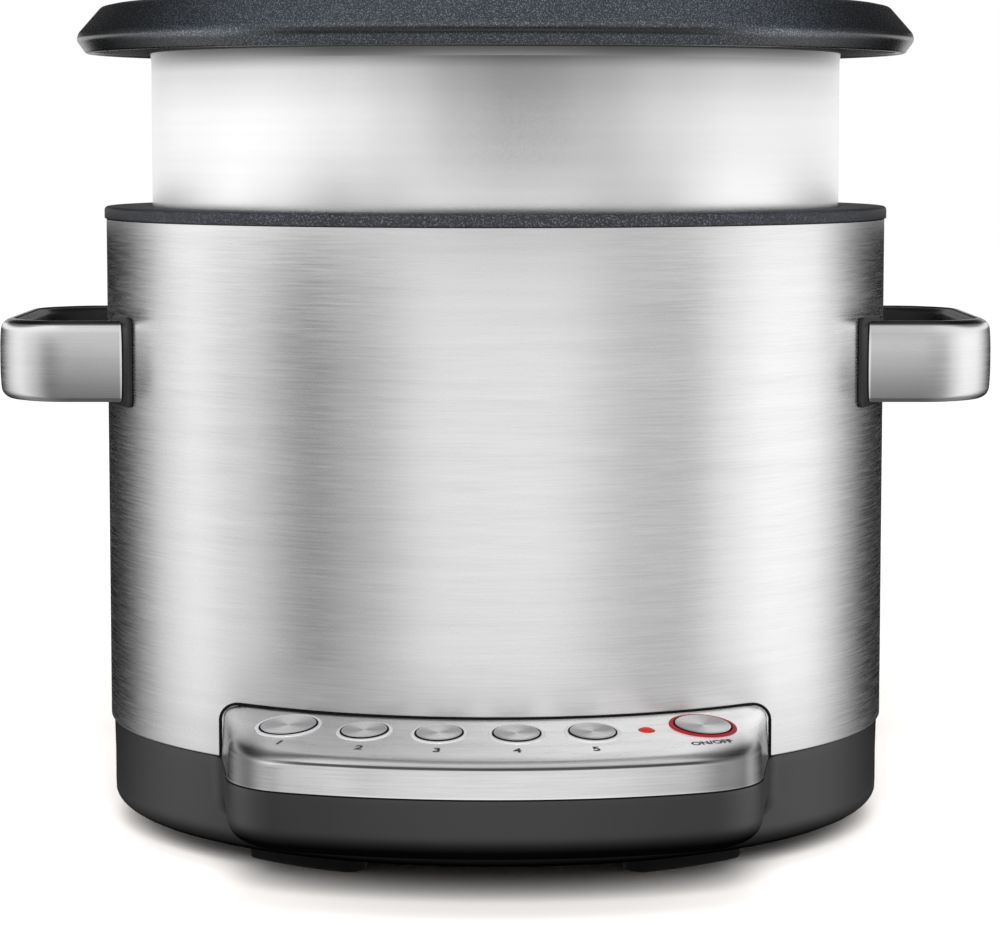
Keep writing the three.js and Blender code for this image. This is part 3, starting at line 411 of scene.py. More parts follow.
def moulded(name, colour, rough, depth=0.00003, **constants):
    # plastic or rubber with a fine moulded grain and slightly uneven colour
    finish = Finish(name, **constants)
    grainSize = 0.0006
    fine = finish.noise(finish.place(), 1 / grainSize)
    cloud = finish.span(finish.noise(finish.place(), 30, 3), 0, 1)
    uneven = finish.blend(cloud, scaled(colour, 0.9), scaled(colour, 1.1))
    finish.surface(uneven, fine, rough - 0.05, rough + 0.05, 0.2, depth)


def spunSteel():
    # turned end faces: fine rings, and light and dark sectors painted into the colour, a painted reflection
    # such as the rings would give
    finish = Finish("spunSteel", Metallic=1)
    turn, along, _ = finish.split(finish.node("ShaderNodeUVMap", {"uv_map": "turned"}))
    rings = finish.noise(finish.vector(turn * 3, along * 6000), 1)
    # painted reflection: light and dark sectors round each cap
    paintedSectors = turn.sum("COSINE", turn * (4 * pi) - 0.6)
    uneven = finish.noise(finish.vector(turn * 9, 0), 1)
    level = paintedSectors * 0.24 + finish.span(rings, 0.76, 0.82) + finish.span(uneven, -0.06, 0.06)
    finish.surface(finish.grey(level), rings, 0.26, 0.36, 0.1, 0.00002)


def satinWall():
    # blasted and anodised wall of the bowl: even, soft, with faint turning marks
    finish = Finish("satinWall", Metallic=1)
    turn, level = finish.roundTheAxis()
    grain = finish.noise(finish.place(), 1600)
    marks = finish.noise(finish.vector(turn * 6, level * 260), 1, 3)
    tone = finish.grey(finish.span(grain * 0.4 + marks * 0.6, 0.88, 0.93))
    finish.surface(tone, grain, 0.19, 0.25, 0.12, 0.00004)


brushed("housingSteel", 0.88, 0.72, 0.26, 0.022, 0.0007, haze=0.2)
brushed("consoleSteel", 0.84, 0.62, 0.3, 0.02, 0.0007)
brushed("handleSteel", 0.86, 0.74, 0.28, 0.02, 0.0008)
brushed("castPlate", 0.5, 0.42, 0.42, 0.02, 0.0009)
brushed("linerSheet", 0.5, 0.42, 0.4, 0.03, 0.0012)
brushed("springSteel", 0.55, 0.48, 0.3, 0.01, 0.0007)
brushed("screwSteel", 0.5, 0.42, 0.3, 0.004, 0.0004)
flecked("rimCoat", (0.014, 0.0145, 0.018), (0.06, 0.063, 0.073), 0.5, 0.0005, Specular_IOR_Level=0.16)
flecked("bowlCoat", (0.014, 0.017, 0.021), (0.075, 0.082, 0.094), 0.24, 0.0004)
moulded("basePlastic", (0.006, 0.006, 0.0063), 0.4, Specular_IOR_Level=0, Coat_Roughness=0.4, Coat_IOR=1.62)
moulded("handleBlack", (0.0035, 0.0035, 0.0038), 0.45)
moulded("bracketGrey", (0.008, 0.008, 0.0083), 0.5, Specular_IOR_Level=0.3)
moulded("footRubber", (0.003, 0.003, 0.003), 0.8, Specular_IOR_Level=0.2)
# black for painted shadow: the line at the console, the caps' sides, the sleeves and the joint under the
# steel
moulded("gapBlack", (0.002, 0.002, 0.002), 0.8, Specular_IOR_Level=0.15)
moulded("printInk", (0.012, 0.012, 0.013), 0.6)
moulded("boardGreen", (0.02, 0.11, 0.05), 0.5)
moulded("copper", (0.35, 0.13, 0.06), 0.4, Metallic=0.8)
moulded("ceramic", (0.75, 0.74, 0.7), 0.5)
moulded("redRing", (0.2, 0.003, 0.006), 0.5, depth=0.00001, IOR=1.35)
moulded("redLens", (0.3, 0.006, 0.003), 0.35, depth=0.00001, IOR=1.4)
moulded("glassRing", (0.62, 0.63, 0.65), 0.2, depth=0.00001, Metallic=0.6)
spunSteel()
satinWall()


# Painted light and shade: each function gives a share that multiplies a finish's colour
def handleShade(x, y, z):
    # painted shade darkens the arms downwards and the top edge all round, painted highlights add a line near
    # the top of the arms and one at their inner ends, and the outer bend gets little of the painted shade
    side = abs(x)
    arm = side.ramp(147, 165, 1, 0.12)
    fall = z.ramp(155, 183, 0.68, 0) * arm
    edge = z.ramp(182.3, 182.9, 0, 0.88)
    line = z.ramp(179.6, 181.2, 0, 0.2) * arm
    end = side.ramp(130, 130.6, 0.5, 0)
    return (1 - fall + line + end) * (1 - edge)


def consoleShade(x, y, z):
    # painted light brightens the left of the front and the right of the ledge, a painted highlight and a
    # painted dark line mark the ridge, painted shade darkens the ends, and a painted highlight runs along the
    # hem; the ledge is duller than the front towards the right
    low = z.ramp(49.5, 53.5, 1, 0)
    ledge = x.ramp(-75, 30, 0.92, 1.37) * (1 - low)
    front = (1.02 + x.ramp(-80, -70, 0, 0.34) * x.ramp(-55, -38, 1, 0)) * low
    middle = abs(x).ramp(62, 80, 1, 0)
    dark = z.ramp(48.7, 49.1, 0, 0.86) * z.ramp(49.6, 50, 1, 0) * middle
    light = z.ramp(50, 50.3, 0, 0.34) * z.ramp(51, 51.6, 1, 0) * middle
    leftEnd = x.ramp(-80, -71, 0.76, 0) * x.ramp(-86, -80.5, 0.6, 1)
    rightEnd = x.ramp(60, 81, 0, 0.78) * x.ramp(79.5, 83, 1, 0.72)
    ends = (leftEnd + rightEnd) * z.ramp(51, 56, 1, 0.08)
    # painted highlight along the hem
    hem = z.ramp(40.2, 40.6, 0.25, 0)
    finishes["consoleSteel"].set("Metallic", 1 - z.ramp(50.5, 53, 0, 1) * x.ramp(-60, 65, 0.01, 0.23))
    return (ledge + front + light + hem) * (1 - dark) * (1 - ends)


def wallShade(x, y, z):
    # painted shadow of the flange darkens the top of the bowl's wall
    return (1 - z.ramp(250, 277, 0, 0.3)) * (1 - z.ramp(269, 277.5, 0, 0.8))


def flangeShade(x, y, z):
    # painted reflection on the flange's widest line: painted dark in front and painted highlights on either
    # side;
    # painted shade darkens its ends
    side = abs(x)
    front = y.ramp(-60, -20, 1, 0)
    line = z.ramp(280, 281, 0, 1) * z.ramp(282.2, 283.4, 1, 0) * front
    fold = line * side.ramp(55, 100, 0.85, 0)
    paintedGleam = line * side.ramp(70, 100, 0, 1.9) * side.ramp(122, 142, 1, 0)
    return (1 + paintedGleam) * (1 - fold) * (1 - side.ramp(72, 134, 0, 0.86))


def housingShade(x, y, z):
    # painted shade darkens the steel's upper corners
    return 1 - z.ramp(182, 219, 0, 0.8) * abs(x).ramp(106, 139, 0, 1)


def rimShade(x, y, z):
    # painted shade darkens the rim's ends on either side
    return 1 - abs(x).ramp(112, 140, 0, 0.8)


def baseShade(x, y, z):
    # painted shade darkens the base where the plastic curls under, and its coat is duller there
    reach = x.sum("SQRT", x * x + (y - axisY) * (y - axisY))
    bulge = reach.ramp(139.5, 143, 0, 1)
    lit = z.ramp(9, 16, 0, 1) * (1 - bulge * (1 - z.ramp(22, 28.5, 0, 1)))
    finishes["basePlastic"].set("Coat Weight", lit)
    return 0.15 + lit * 0.85


# each finish here gets its painted light and shade
paintedShading = {
    "handleSteel": handleShade, "consoleSteel": consoleShade, "satinWall": wallShade, "bowlCoat": flangeShade,
    "housingSteel": housingShade, "rimCoat": rimShade, "basePlastic": baseShade,
}
for name, paintedShadingAt in paintedShading.items():
    finish = finishes[name]
    finish.shade(paintedShadingAt(*finish.split(finish.place())))
print("finishes made:", len(finishes))


# Housing: the brushed steel shell and the dark ring on its rim

housing = {"radius": 140, "sheet": 1, "bottom": 40, "top": 218.4, "hem": 0.45}
shellPath = roundedPath([
    (housing["radius"] - housing["sheet"], housing["bottom"]),
    (housing["radius"], housing["bottom"], housing["hem"]),
    (housing["radius"], housing["top"]),
    (housing["radius"] - housing["sheet"], housing["top"]),
], 4)
pieceFrom(latheMesh(shellPath, 256), "steelShell", ["housingSteel"],
          slot="brushed_steel", stands=["housing_shell"])

rim = {"outer": 140.7, "inner": 124.5, "top": 223, "height": 4.3, "plate": 3, "inside": 135.8}
rimPath = roundedPath([
    (rim["inner"], rim["top"] - rim["plate"], 0.5),
    (rim["inside"], rim["top"] - rim["plate"]),
    (rim["inside"], rim["top"] - rim["height"]),
    (rim["outer"], rim["top"] - rim["height"], 0.4),
    (rim["outer"], rim["top"], 1.3),
    (rim["inner"], rim["top"], 0.9),
], 5)
pieceFrom(latheMesh(rimPath, 256), "rimRing", ["rimCoat"], slot="dark_trim", stands=["top_rim_ring"])
print("housing and rim made")


# Cooking bowl: satin wall outside, flecked coat on the flange and inside

bowl = {
    "radius": 123.5, "wall": 3, "lip": 277.1, "depth": 114, "corner": 22, "recess": 2.5,
    "recessRadius": 26, "reach": 150, "widest": 4.6, "roof": 13, "height": 17.2,
    "lipOuter": 146.7, "lipInner": 144.2, "shoulder": 0.4, "crown": 141, "mouth": 127,
}
wall, lip, recess, hollow = bowl["wall"], bowl["lip"], bowl["recess"], bowl["recessRadius"]
foot, roof, crest = lip - bowl["depth"], lip + bowl["roof"], lip + bowl["height"]
outside, inside = bowl["radius"], bowl["radius"] - wall
bowlPath = roundedPath([
    (0, foot + recess),
    (hollow - 2, foot + recess, 1),
    (hollow, foot, 1),
    (outside, foot, bowl["corner"]),
    (outside, lip - 3, 2),
    (outside + bowl["shoulder"], lip, 2),
    (outside + bowl["shoulder"], roof, 2),
    (bowl["lipInner"], roof, 3),
    (bowl["lipInner"], lip, 0.8),
    (bowl["lipOuter"], lip, 1.4),
    (bowl["reach"], lip + bowl["widest"], 2.2),
    (bowl["reach"] - 0.7, lip + 7.1, 2.4),
    (bowl["crown"] + 0.2, crest - 0.9, 3),
    (bowl["crown"] - 4, crest, 6),
    (bowl["mouth"], crest, 4),
    (inside, crest - 0.8, 5),
    (inside, foot + wall, bowl["corner"] - wall),
    (hollow + wall, foot + wall, 1),
    (hollow, foot + wall + recess, 1),
    (0, foot + wall + recess),
], 9)
bowlPiece = pieceFrom(latheMesh(bowlPath, 256), "cookingBowl", ["satinWall", "bowlCoat"],
                      body="bowl", slot="bowl_coating", stands=["cooking_bowl"])
for polygon in bowlPiece.data.polygons:
    middle = (polygon.center - axis) / mm
    reach, level = middle.xy.length, middle.z
    outward = polygon.normal.xy.dot(middle.xy) > -0.1 or level < foot + 2
    onWall = inside + 1 < reach < outside + 0.6 and level < roof - 3
    below = level < foot + wall and polygon.normal.z < 0
    polygon.material_index = 0 if (onWall and outward) or below else 1
print("bowl made")


# Console: one pressed steel skin with a sloping ledge, set on a bulge of the base

console = {
    "front": 182, "ridge": 180, "bottom": 40, "ridgeLevel": 51.7, "ledgeTop": 58.5,
    "half": 88, "halfBack": 92.3, "corner": 32, "skin": 1.2, "inset": 0.25,
    "frontFillet": 3.4, "sideFillet": 6.5, "reach": 140.2, "backDepth": 104.4,
    "wallSteps": 5, "filletSteps": 12, "ledgeSteps": 14,
}
ledgeFall = (console["ledgeTop"] - console["ridgeLevel"]) / (console["ridge"] - housing["radius"])
ledgeSlope = atan(ledgeFall)


def ledgeLevel(radius):
    return console["ledgeTop"] - (radius - housing["radius"]) * ledgeFall


def pointing(angle):
    return Vector((cos(angle), sin(angle)))


def planCorner(inset):
    # the console's half width, the radius and the centre of its front corner, and the radius of its front
    half, front = console["half"] - inset, console["front"] - inset
    corner = max(console["corner"] - inset, 2)
    forward = sqrt(max((front - corner) ** 2 - (half - corner) ** 2, 0))
    return half, corner, Vector((half - corner, -forward)), front


def consoleEdge(inset):
    # plan of the console's edge from its right back corner round the front to the left one
    half, corner, centre, front = planCorner(inset)
    turn = atan2(-centre.y, centre.x)
    side = console["halfBack"] - inset
    back = sqrt(console["reach"] ** 2 - side ** 2)
    shares = [k / 18 for k in range(18)]
    points = [Vector((side + (half - side) * share, -back + (centre.y + back) * share)) for share in shares]
    points += [centre + pointing(-turn * k / 24) * corner for k in range(25)]
    points += [pointing(-turn + (turn - pi / 2) * k / 44) * front for k in range(1, 45)]
    return points + [Vector((-point.x, point.y)) for point in reversed(points[:-1])]


edgesAt = [consoleEdge(k) for k in range(20)]


def onConsole(index, inset, level=None):
    near = edgesAt[min(int(inset), 18)][index]
    far = edgesAt[min(int(inset) + 1, 19)][index]
    spot = near + (far - near) * (inset - int(inset))
    return Vector((spot.x, spot.y, ledgeLevel(spot.length) if level is None else level))


lean = (console["front"] - console["ridge"]) / (console["ridgeLevel"] - console["bottom"])
columns = []
for index, edgePoint in enumerate(edgesAt[0]):
    # 1 along the curved front, 0 round the corners and along the sides
    front = eased((80 - abs(edgePoint.x)) / 26)
    fillet = console["sideFillet"] + (console["frontFillet"] - console["sideFillet"]) * front
    slope = lean * (0.35 + 0.65 * front)
    inset = console["inset"]
    for _ in range(4):
        level = ledgeLevel(onConsole(index, inset).xy.length)
        inset = console["inset"] + slope * (level - console["bottom"])
    corner = onConsole(index, inset, level)
    drop = fillet * (0.75 + 0.25 * front)
    wallTop = onConsole(index, inset - slope * drop, level - drop)
    ledgeEdge = onConsole(index, inset + fillet * (1 + 0.4 * (1 - front)))
    low = onConsole(index, console["inset"], console["bottom"])
    column = [low + (wallTop - low) * (k / console["wallSteps"]) for k in range(console["wallSteps"])]
    for k in range(console["filletSteps"] + 1):
        share = k / console["filletSteps"]
        rest = 1 - share
        column.append(wallTop * rest ** 2 + corner * (2 * share * rest) + ledgeEdge * share ** 2)
    azimuth = atan2(ledgeEdge.x, -ledgeEdge.y)
    length = min(console["reach"] - 0.6, ledgeEdge.xy.length - 0.5)
    inner = Vector((sin(azimuth), -cos(azimuth))) * length
    for k in range(1, console["ledgeSteps"] + 1):
        spot = ledgeEdge.xy + (inner - ledgeEdge.xy) * (k / console["ledgeSteps"])
        column.append(Vector((spot.x, spot.y, ledgeLevel(spot.length))))
    columns.append(column)
consoleRows = [[column[k] * mm + axis for column in columns] for k in range(len(columns[0]))]


def alongLedge(degrees, radius):
    # frame of one thing on the ledge: its Z is the ledge's normal there
    place = Matrix.Translation(axis) @ Matrix.Rotation(radians(degrees), 4, "Z")
    place = place @ Matrix.Translation((0, -radius * mm, ledgeLevel(radius) * mm))
    return place @ Matrix.Rotation(ledgeSlope, 4, "X")


small, large = {"radius": 7.5, "ring": 1.4}, {"radius": 9.25, "ring": 1.7}
controls = {
    "mode_button_1": {"turn": -25.9, **large}, "mode_button_2": {"turn": -15.9, **small},
    "mode_button_3": {"turn": -6.7, **small}, "mode_button_4": {"turn": 2.6, **small},
    "mode_button_5": {"turn": 11.8, **small}, "start_button": {"turn": 26.1, **large},
}
panel = {
    "circle": 154.3, "gap": 0.3, "lampTurn": 18.6, "lampRadius": 2.5,
    "labelCircle": 169.5, "labelShare": 0.935, "figure": 5.2, "wordShare": 0.78, "holeDepth": 16,
}
holes = [(c["turn"], c["radius"] + c["ring"] + panel["gap"]) for c in controls.values()]
holes.append((panel["lampTurn"], panel["lampRadius"] + panel["gap"]))
holeMesh = bmesh.new()
for turn, radius in holes:
    bmesh.ops.create_cone(holeMesh, cap_ends=True, segments=64, radius1=radius * mm, radius2=radius * mm,
                          depth=panel["holeDepth"] * mm, matrix=alongLedge(turn, panel["circle"]))
skinMesh = rowsMesh(consoleRows, closedRow=False)
if sum(face.normal.z for face in skinMesh.faces) < 0:
    bmesh.ops.reverse_faces(skinMesh, faces=skinMesh.faces)
flat = objectFrom(skinMesh, "consoleFlat")
sheet = flat.modifiers.new("sheet", "SOLIDIFY")
sheet.thickness = console["skin"] * mm
sheet.offset = -1
thick = added("consoleThick", bakedMesh(flat, "consoleThick"))
bpy.data.objects.remove(flat)
consolePiece = cutOut(thick, objectFrom(holeMesh, "holeCutter"), "consoleSkin")
dress(consolePiece, ["consoleSteel"], slot="console_steel", stands=["control_panel_fascia"])
print("console skin made")

# Painted shadow: a thin black line where the console meets the steel, standing in for the shadow in the gap
gapShadow = {"radius": 0.5, "sink": 0.1}
top, bottom, back = console["ledgeTop"], console["bottom"], console["halfBack"]
gapShadowPath = [(back + 0.15, bottom + (top - 6.2 - bottom) * k / 12) for k in range(12)]
for k, (sine, cosine) in enumerate(quarter(12, 0)):
    gapShadowPath.append((back - 6.05 - 0.8 * k / 12 + 6.2 * cosine, top - 5.8 + 6 * sine))
right = gapShadowPath[-1][0]
gapShadowPath += [(right - right * k / 40, top + 0.25) for k in range(1, 40)]
gapShadowPath += [(-x, z) for x, z in reversed(gapShadowPath)]
gapShadowReach = housing["radius"] + gapShadow["sink"]
gapShadowPoints = [Vector((x, -sqrt(gapShadowReach ** 2 - x ** 2), z)) * mm + axis for x, z in gapShadowPath]
pieceFrom(tubeMesh(gapShadowPoints, gapShadow["radius"] * mm), "consoleGapShadow", ["gapBlack"], slot="black_plastic")


# Buttons, their bezels and the lamp

bezels = Grower("bezelRing", {"Radius": "Float", "Width": "Float", "Height": "Float", "Finish": "Material"})
circle = bezels.node("GeometryNodeCurvePrimitiveCircle", values={
    "Resolution": 72, "Radius": bezels.given("Radius")})
section = bezels.node("GeometryNodeCurvePrimitiveQuadrilateral", values={
    "Width": bezels.given("Height"), "Height": bezels.given("Width")})
section = bezels.node("GeometryNodeFilletCurve", {"mode": "POLY"}, {
    "Curve": section, "Count": 4, "Radius": bezels.given("Width") * 0.3})
bezels.close(bezels.node("GeometryNodeCurveToMesh", values={"Curve": circle, "Profile Curve": section}))


def titled(name):
    return name.replace("_", " ").title().replace(" ", "")


button = {
    "proud": 0.9, "skirt": 2.2, "bevel": 0.55, "dish": 0.35, "stem": 2.4, "stemDepth": 8, "rim": 0.9,
    "bezelHeight": 1.6, "sleeveTop": 0.53, "sleeveFoot": -2,
}
for name, control in controls.items():
    place = alongLedge(control["turn"], panel["circle"])
    radius = control["radius"]
    cap = roundedPath([
        (0, button["proud"] - button["dish"]),
        (radius * 0.55, button["proud"] - button["dish"] * 0.75, 3),
        (radius - button["rim"], button["proud"], 0.5),
        (radius, button["proud"], button["bevel"]),
        (radius, -button["skirt"]),
        (button["stem"], -button["skirt"]),
        (button["stem"], -button["stemDepth"], 0.4),
        (0, -button["stemDepth"]),
    ], 6)
    capPiece = pieceFrom(latheMesh(cap, 96, place), titled(name) + "Cap", ["spunSteel", "gapBlack"],
                         body=name, slot="button_metal", stands=[name])
    # painted shade: the caps' side walls take the black finish, as they are in shade
    for polygon in capPiece.data.polygons:
        polygon.material_index = 0 if polygon.normal.dot(place.to_3x3().col[2]) > 0.4 else 1
    bezelNode = name.replace("button", "ring")
    red = bezelNode == "start_ring"
    lift = Matrix.Translation((0, 0, (0.5 - button["bezelHeight"] / 2) * mm))
    ring = bezels.grow({
        "Radius": (radius + panel["gap"] + control["ring"] / 2) * mm,
        "Width": (control["ring"] - 0.1) * mm,
        "Height": button["bezelHeight"] * mm,
        "Finish": finishes["redRing" if red else "glassRing"].material,
    }, bezelNode.replace("_", "") + "Bezel", place @ lift)
    dress(ring, [], slot="red_ring" if red else "clear_ring", stands=[bezelNode])
    # a black sleeve between cap and bezel is a painted shadow in the gap, giving the thin dark outline
    near, far = radius + 0.12, radius + panel["gap"] + 0.22
    low, high = button["sleeveFoot"], button["sleeveTop"]
    pieceFrom(latheMesh([(near, low), (far, low), (far, high), (near, high)], 96, place),
              bezelNode.replace("_", "") + "ShadowSleeve", ["gapBlack"], slot="black_plastic")

lens = roundedPath([(0, 0.75), (panel["lampRadius"], 0.35, 1.6), (panel["lampRadius"], -1.5), (0, -1.5)], 8)
pieceFrom(latheMesh(lens, 64, alongLedge(panel["lampTurn"], panel["circle"])), "lampLens", ["redLens"],
          slot="red_lens", stands=["keep_warm_lens"])


def printedOn(text, size, degrees, name):
    # flat figures bent onto the ledge, a hair above it
    curve = bpy.data.curves.new(name, "FONT")
    curve.body = text
    curve.size = size
    curve.align_x = "CENTER"
    curve.align_y = "CENTER"
    curve.offset = size * 0.034
    holder = added(name + "Text", curve)
    mesh = bakedMesh(holder, name)
    bpy.data.objects.remove(holder)
    turn = radians(degrees) * panel["labelShare"]
    for vertex in mesh.vertices:
        radius = panel["labelCircle"] - vertex.co.y
        vertex.co = around(turn + vertex.co.x / panel["labelCircle"], radius, ledgeLevel(radius) + 0.04)
    dress(added(name, mesh), ["printInk"], slot="black_plastic")


for number, control in enumerate(list(controls.values())[:5], start=1):
    printedOn(str(number), panel["figure"], control["turn"], "figure" + str(number))
printedOn("ON/OFF", panel["figure"] * panel["wordShare"], controls["start_button"]["turn"], "figureOnOff")
print("buttons, bezels, lamp and figures made")


# Base: a round dark shell with a bulge that carries the console

base = {
    "topRadius": 138.7, "radius": 138.6, "wall": 2.5, "bottom": 7.3, "filletReach": 12, "filletRise": 6.5,
    "top": 46, "cover": 96.3, "bulgeBottom": 19.4, "bulgeRound": 7.5, "edge": 0.5, "blend": 5,
    "joint": 39.4, "inletGap": 0.6, "inletDepth": 20,
}


def softMax(first, second, width):
    share = min(max(0.5 + 0.5 * (second - first) / width, 0), 1)
    return first * (1 - share) + second * share + width * share * (1 - share)


def bulgeReach(azimuth, inset):
    # distance from the axis to the bulge's plan along an azimuth, or 0 where the bulge isn't
    half, corner, centre, front = planCorner(inset)
    turn = abs(azimuth)
    if turn > pi / 2:
        return 0
    if turn <= atan2(centre.x, -centre.y):
        return front
    ray = Vector((sin(turn), -cos(turn)))
    along = ray.dot(centre)
    off = centre.length_squared - along * along
    if off < corner * corner:
        reach = along + sqrt(corner * corner - off)
        if reach * ray.y <= centre.y:
            return reach
    flare = (console["halfBack"] - console["half"]) / (-centre.y - console["backDepth"])
    return (half - flare * centre.y) / max(ray.x - flare * ray.y, 0.001)


azimuths = []
for k in range(720):
    turn = -pi + 2 * pi * (k + 0.5) / 720
    azimuths.append(turn)
    if radians(22) < abs(turn) < radians(45):
        azimuths += [turn + 2 * pi * part / 2880 for part in (1, 2, 3)]


def baseRow(level, circle, inset=None):
    row = []
    for azimuth in azimuths:
        reach = circle if inset is None else softMax(circle, bulgeReach(azimuth, inset), base["blend"])
        row.append(around(azimuth, reach, level))
    return row


brink, outer, topOuter, bottom = console["bottom"], base["radius"], base["topRadius"], base["bottom"]
edge, lower, curl = base["edge"], base["bulgeBottom"], base["bulgeRound"]
fold, rise = base["filletReach"], base["filletRise"]
rows = [(base["top"], topOuter), (brink + 0.05, topOuter), (brink - 0.02, topOuter, 1.2)]
rows += [(brink - edge * (1 - cosine) - 0.03, topOuter, edge * (1 - sine)) for sine, cosine in quarter(3, 0)]
for share in [k / 8 for k in range(1, 9)]:
    rows.append((brink - 0.6 + (lower + curl - brink + 0.6) * share, outer + 0.3 * (1 - share), 0.4 * share))
rows += [(lower + curl * (1 - sine), outer, 0.4 + curl * (1 - cosine)) for sine, cosine in quarter(10)]
rows += [(lower - 0.5 * k, outer, 8 + 5.6 * k) for k in range(1, 8)]
rows += [(bottom + rise * (1 - sine), outer - fold * (1 - cosine)) for sine, cosine in quarter(12)]
rows += [
    (bottom, base["cover"]), (bottom + 2.5, base["cover"]), (bottom + 2.6, outer - fold),
    (bottom + 10, outer - base["wall"]), (base["top"], outer - base["wall"]),
]
baseMesh = rowsMesh([baseRow(*row) for row in rows], closedLoop=True)
inletLow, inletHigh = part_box("mains_inlet")
size = inletHigh - inletLow + Vector((1, 0, 1)) * base["inletGap"] * mm
size.y = base["inletDepth"] * mm
spot = Vector((0, inletHigh.y - 4 * mm, (inletLow.z + inletHigh.z) / 2))
inletHole = bmesh.new()
bmesh.ops.create_cube(inletHole, size=1, matrix=Matrix.LocRotScale(spot, None, size))
basePiece = cutOut(objectFrom(baseMesh, "baseSolid"), objectFrom(inletHole, "inletCutter"), "baseShell")
dress(basePiece, ["basePlastic", "gapBlack"], slot="base_plastic", stands=["base_shell"])
# painted shadow: the faces above the joint take the black finish as a thin dark line under the steel
for polygon in basePiece.data.polygons:
    polygon.material_index = 1 if polygon.center.z > base["joint"] * mm else 0
print("base made")


# Handles: a brushed strip round a black core, and a collar at each end

handle = {
    "reach": 175.3, "half": 57, "corner": 26, "bottom": 155.7, "top": 184, "sheet": 1,
    "core": 8, "crown": 0.9, "edge": 1.7, "bendEdge": 3.7, "lap": 1.3, "gap": 0.1, "drop": 0.5,
    "stop": 141.65,
}


def handlePath(inset):
    # plan of the left handle from its front end round to its back end, inset from the outer face
    reach = handle["reach"] - inset
    half = handle["half"] - inset
    corner = handle["corner"] - inset
    start = -sqrt(handle["stop"] ** 2 - half ** 2)
    points = [Vector((start + (corner - reach - start) * k / 13, -half)) for k in range(14)]
    for sine, cosine in quarter(24):
        points.append(Vector((corner - reach - corner * sine, corner - half - corner * cosine)))
    points += [Vector((-reach, (corner - half) * (1 - k / 12))) for k in range(1, 13)]
    return points + [Vector((point.x, -point.y)) for point in reversed(points[:-1])]


def handleBand(sectionOf):
    # a band along the plan; its section is a list of (inset, level) and its edges round off more at the bend
    columns = []
    for start, inward in zip(handlePath(0), handlePath(1)):
        share = eased((abs(start.x) - 152) / 18)
        edge = handle["edge"] + (handle["bendEdge"] - handle["edge"]) * share
        spots = [(start + (inward - start) * inset, level) for inset, level in sectionOf(edge)]
        columns.append([Vector((spot.x, spot.y, level)) * mm + axis for spot, level in spots])
    return rowsMesh(columns, capped=True)


def mirrored(bm):
    other = bm.copy()
    bmesh.ops.scale(other, vec=(-1, 1, 1), verts=other.verts)
    bmesh.ops.recalc_face_normals(other, faces=other.faces)
    return other


def faceInset(level):
    # how far the handle's bowed face stands back at a height
    share = abs(2 * level - handle["top"] - handle["bottom"]) / (handle["top"] - handle["bottom"])
    return handle["crown"] * share ** 3


def handleFace(edge, thickness):
    # section of the strip from its top edge down to its bottom edge, at a depth below the surface
    points = []
    for sine, cosine in quarter(9, 0):
        level = handle["top"] - edge + (edge - thickness) * cosine
        points.append((faceInset(level) + edge - (edge - thickness) * sine, level))
    turned = [(inset, handle["top"] + handle["bottom"] - level) for inset, level in reversed(points)]
    low, high = handle["bottom"] + edge, handle["top"] - edge
    for k in range(1, 12):
        level = high + (low - high) * k / 12
        points.append((faceInset(level) + thickness, level))
    return points + turned


def coverSection(edge):
    lap = edge + handle["lap"]
    section = handleFace(edge, 0)
    section += [(lap, handle["bottom"]), (lap, handle["bottom"] + handle["sheet"])]
    section += list(reversed(handleFace(edge, handle["sheet"])))
    return section + [(lap, handle["top"] - handle["sheet"]), (lap, handle["top"])]


def coreSection(edge):
    stepIn = edge + handle["lap"] + 0.15
    deep = handle["sheet"] + handle["gap"]
    bottom, top = handle["bottom"] + handle["drop"], handle["top"] - handle["drop"]
    inner = deep + handle["core"]
    section = handleFace(edge, deep)
    section += [(stepIn, handle["bottom"] + deep), (stepIn, bottom)]
    section += roundedPath([(stepIn, bottom), (inner, bottom, 2), (inner, top, 2), (stepIn, top)], 5)[1:]
    return section + [(stepIn, handle["top"] - deep)]


for sectionOf, title, node, paintName, slot, sharp in (
    (coverSection, "HandleStrip", "handle_cover_", "handleSteel", "brushed_steel", 40),
    (coreSection, "HandleCore", "handle_core_", "handleBlack", "black_plastic", 32),
):
    band = handleBand(sectionOf)
    pieceFrom(mirrored(band), "right" + title, [paintName], slot=slot, stands=[node + "right"], sharp=sharp)
    pieceFrom(band, "left" + title, [paintName], slot=slot, stands=[node + "left"], sharp=sharp)


def collarMesh(nodeName, thick, bevel, corner):
    # a bowed plate with rounded corners on the steel, as large as its CAD node, in metres
    low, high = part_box(nodeName)
    near = sorted((abs(low.y - axisY), abs(high.y - axisY)))
    radius = housing["radius"] * mm
    start, end = [asin(min(reach / (radius + thick), 1)) for reach in near]
    side = -1 if low.x < 0 else 1
    face = -1 if high.y < axisY else 1
    rows = []
    for inset, out in ((0, 0.0002), (0, thick - bevel), (bevel * 0.3, thick - bevel * 0.3), (bevel, thick)):
        wide = ((end - start) / 2 - inset / radius) * radius - corner
        tall = (high.z - low.z) / 2 - inset - corner
        row = []
        for quarterTurn, (sx, sz) in enumerate(((1, 1), (-1, 1), (-1, -1), (1, -1))):
            for k in range(6):
                angle = pi / 2 * (quarterTurn + k / 5)
                turn = (start + end) / 2 + (sx * wide + corner * cos(angle)) / radius
                row.append(Vector((side * (radius + out) * cos(turn),
                                   axisY + face * (radius + out) * sin(turn),
                                   (low.z + high.z) / 2 + sz * tall + corner * sin(angle))))
        rows.append(row)
    return rowsMesh(rows, capped=True, bowed=True)


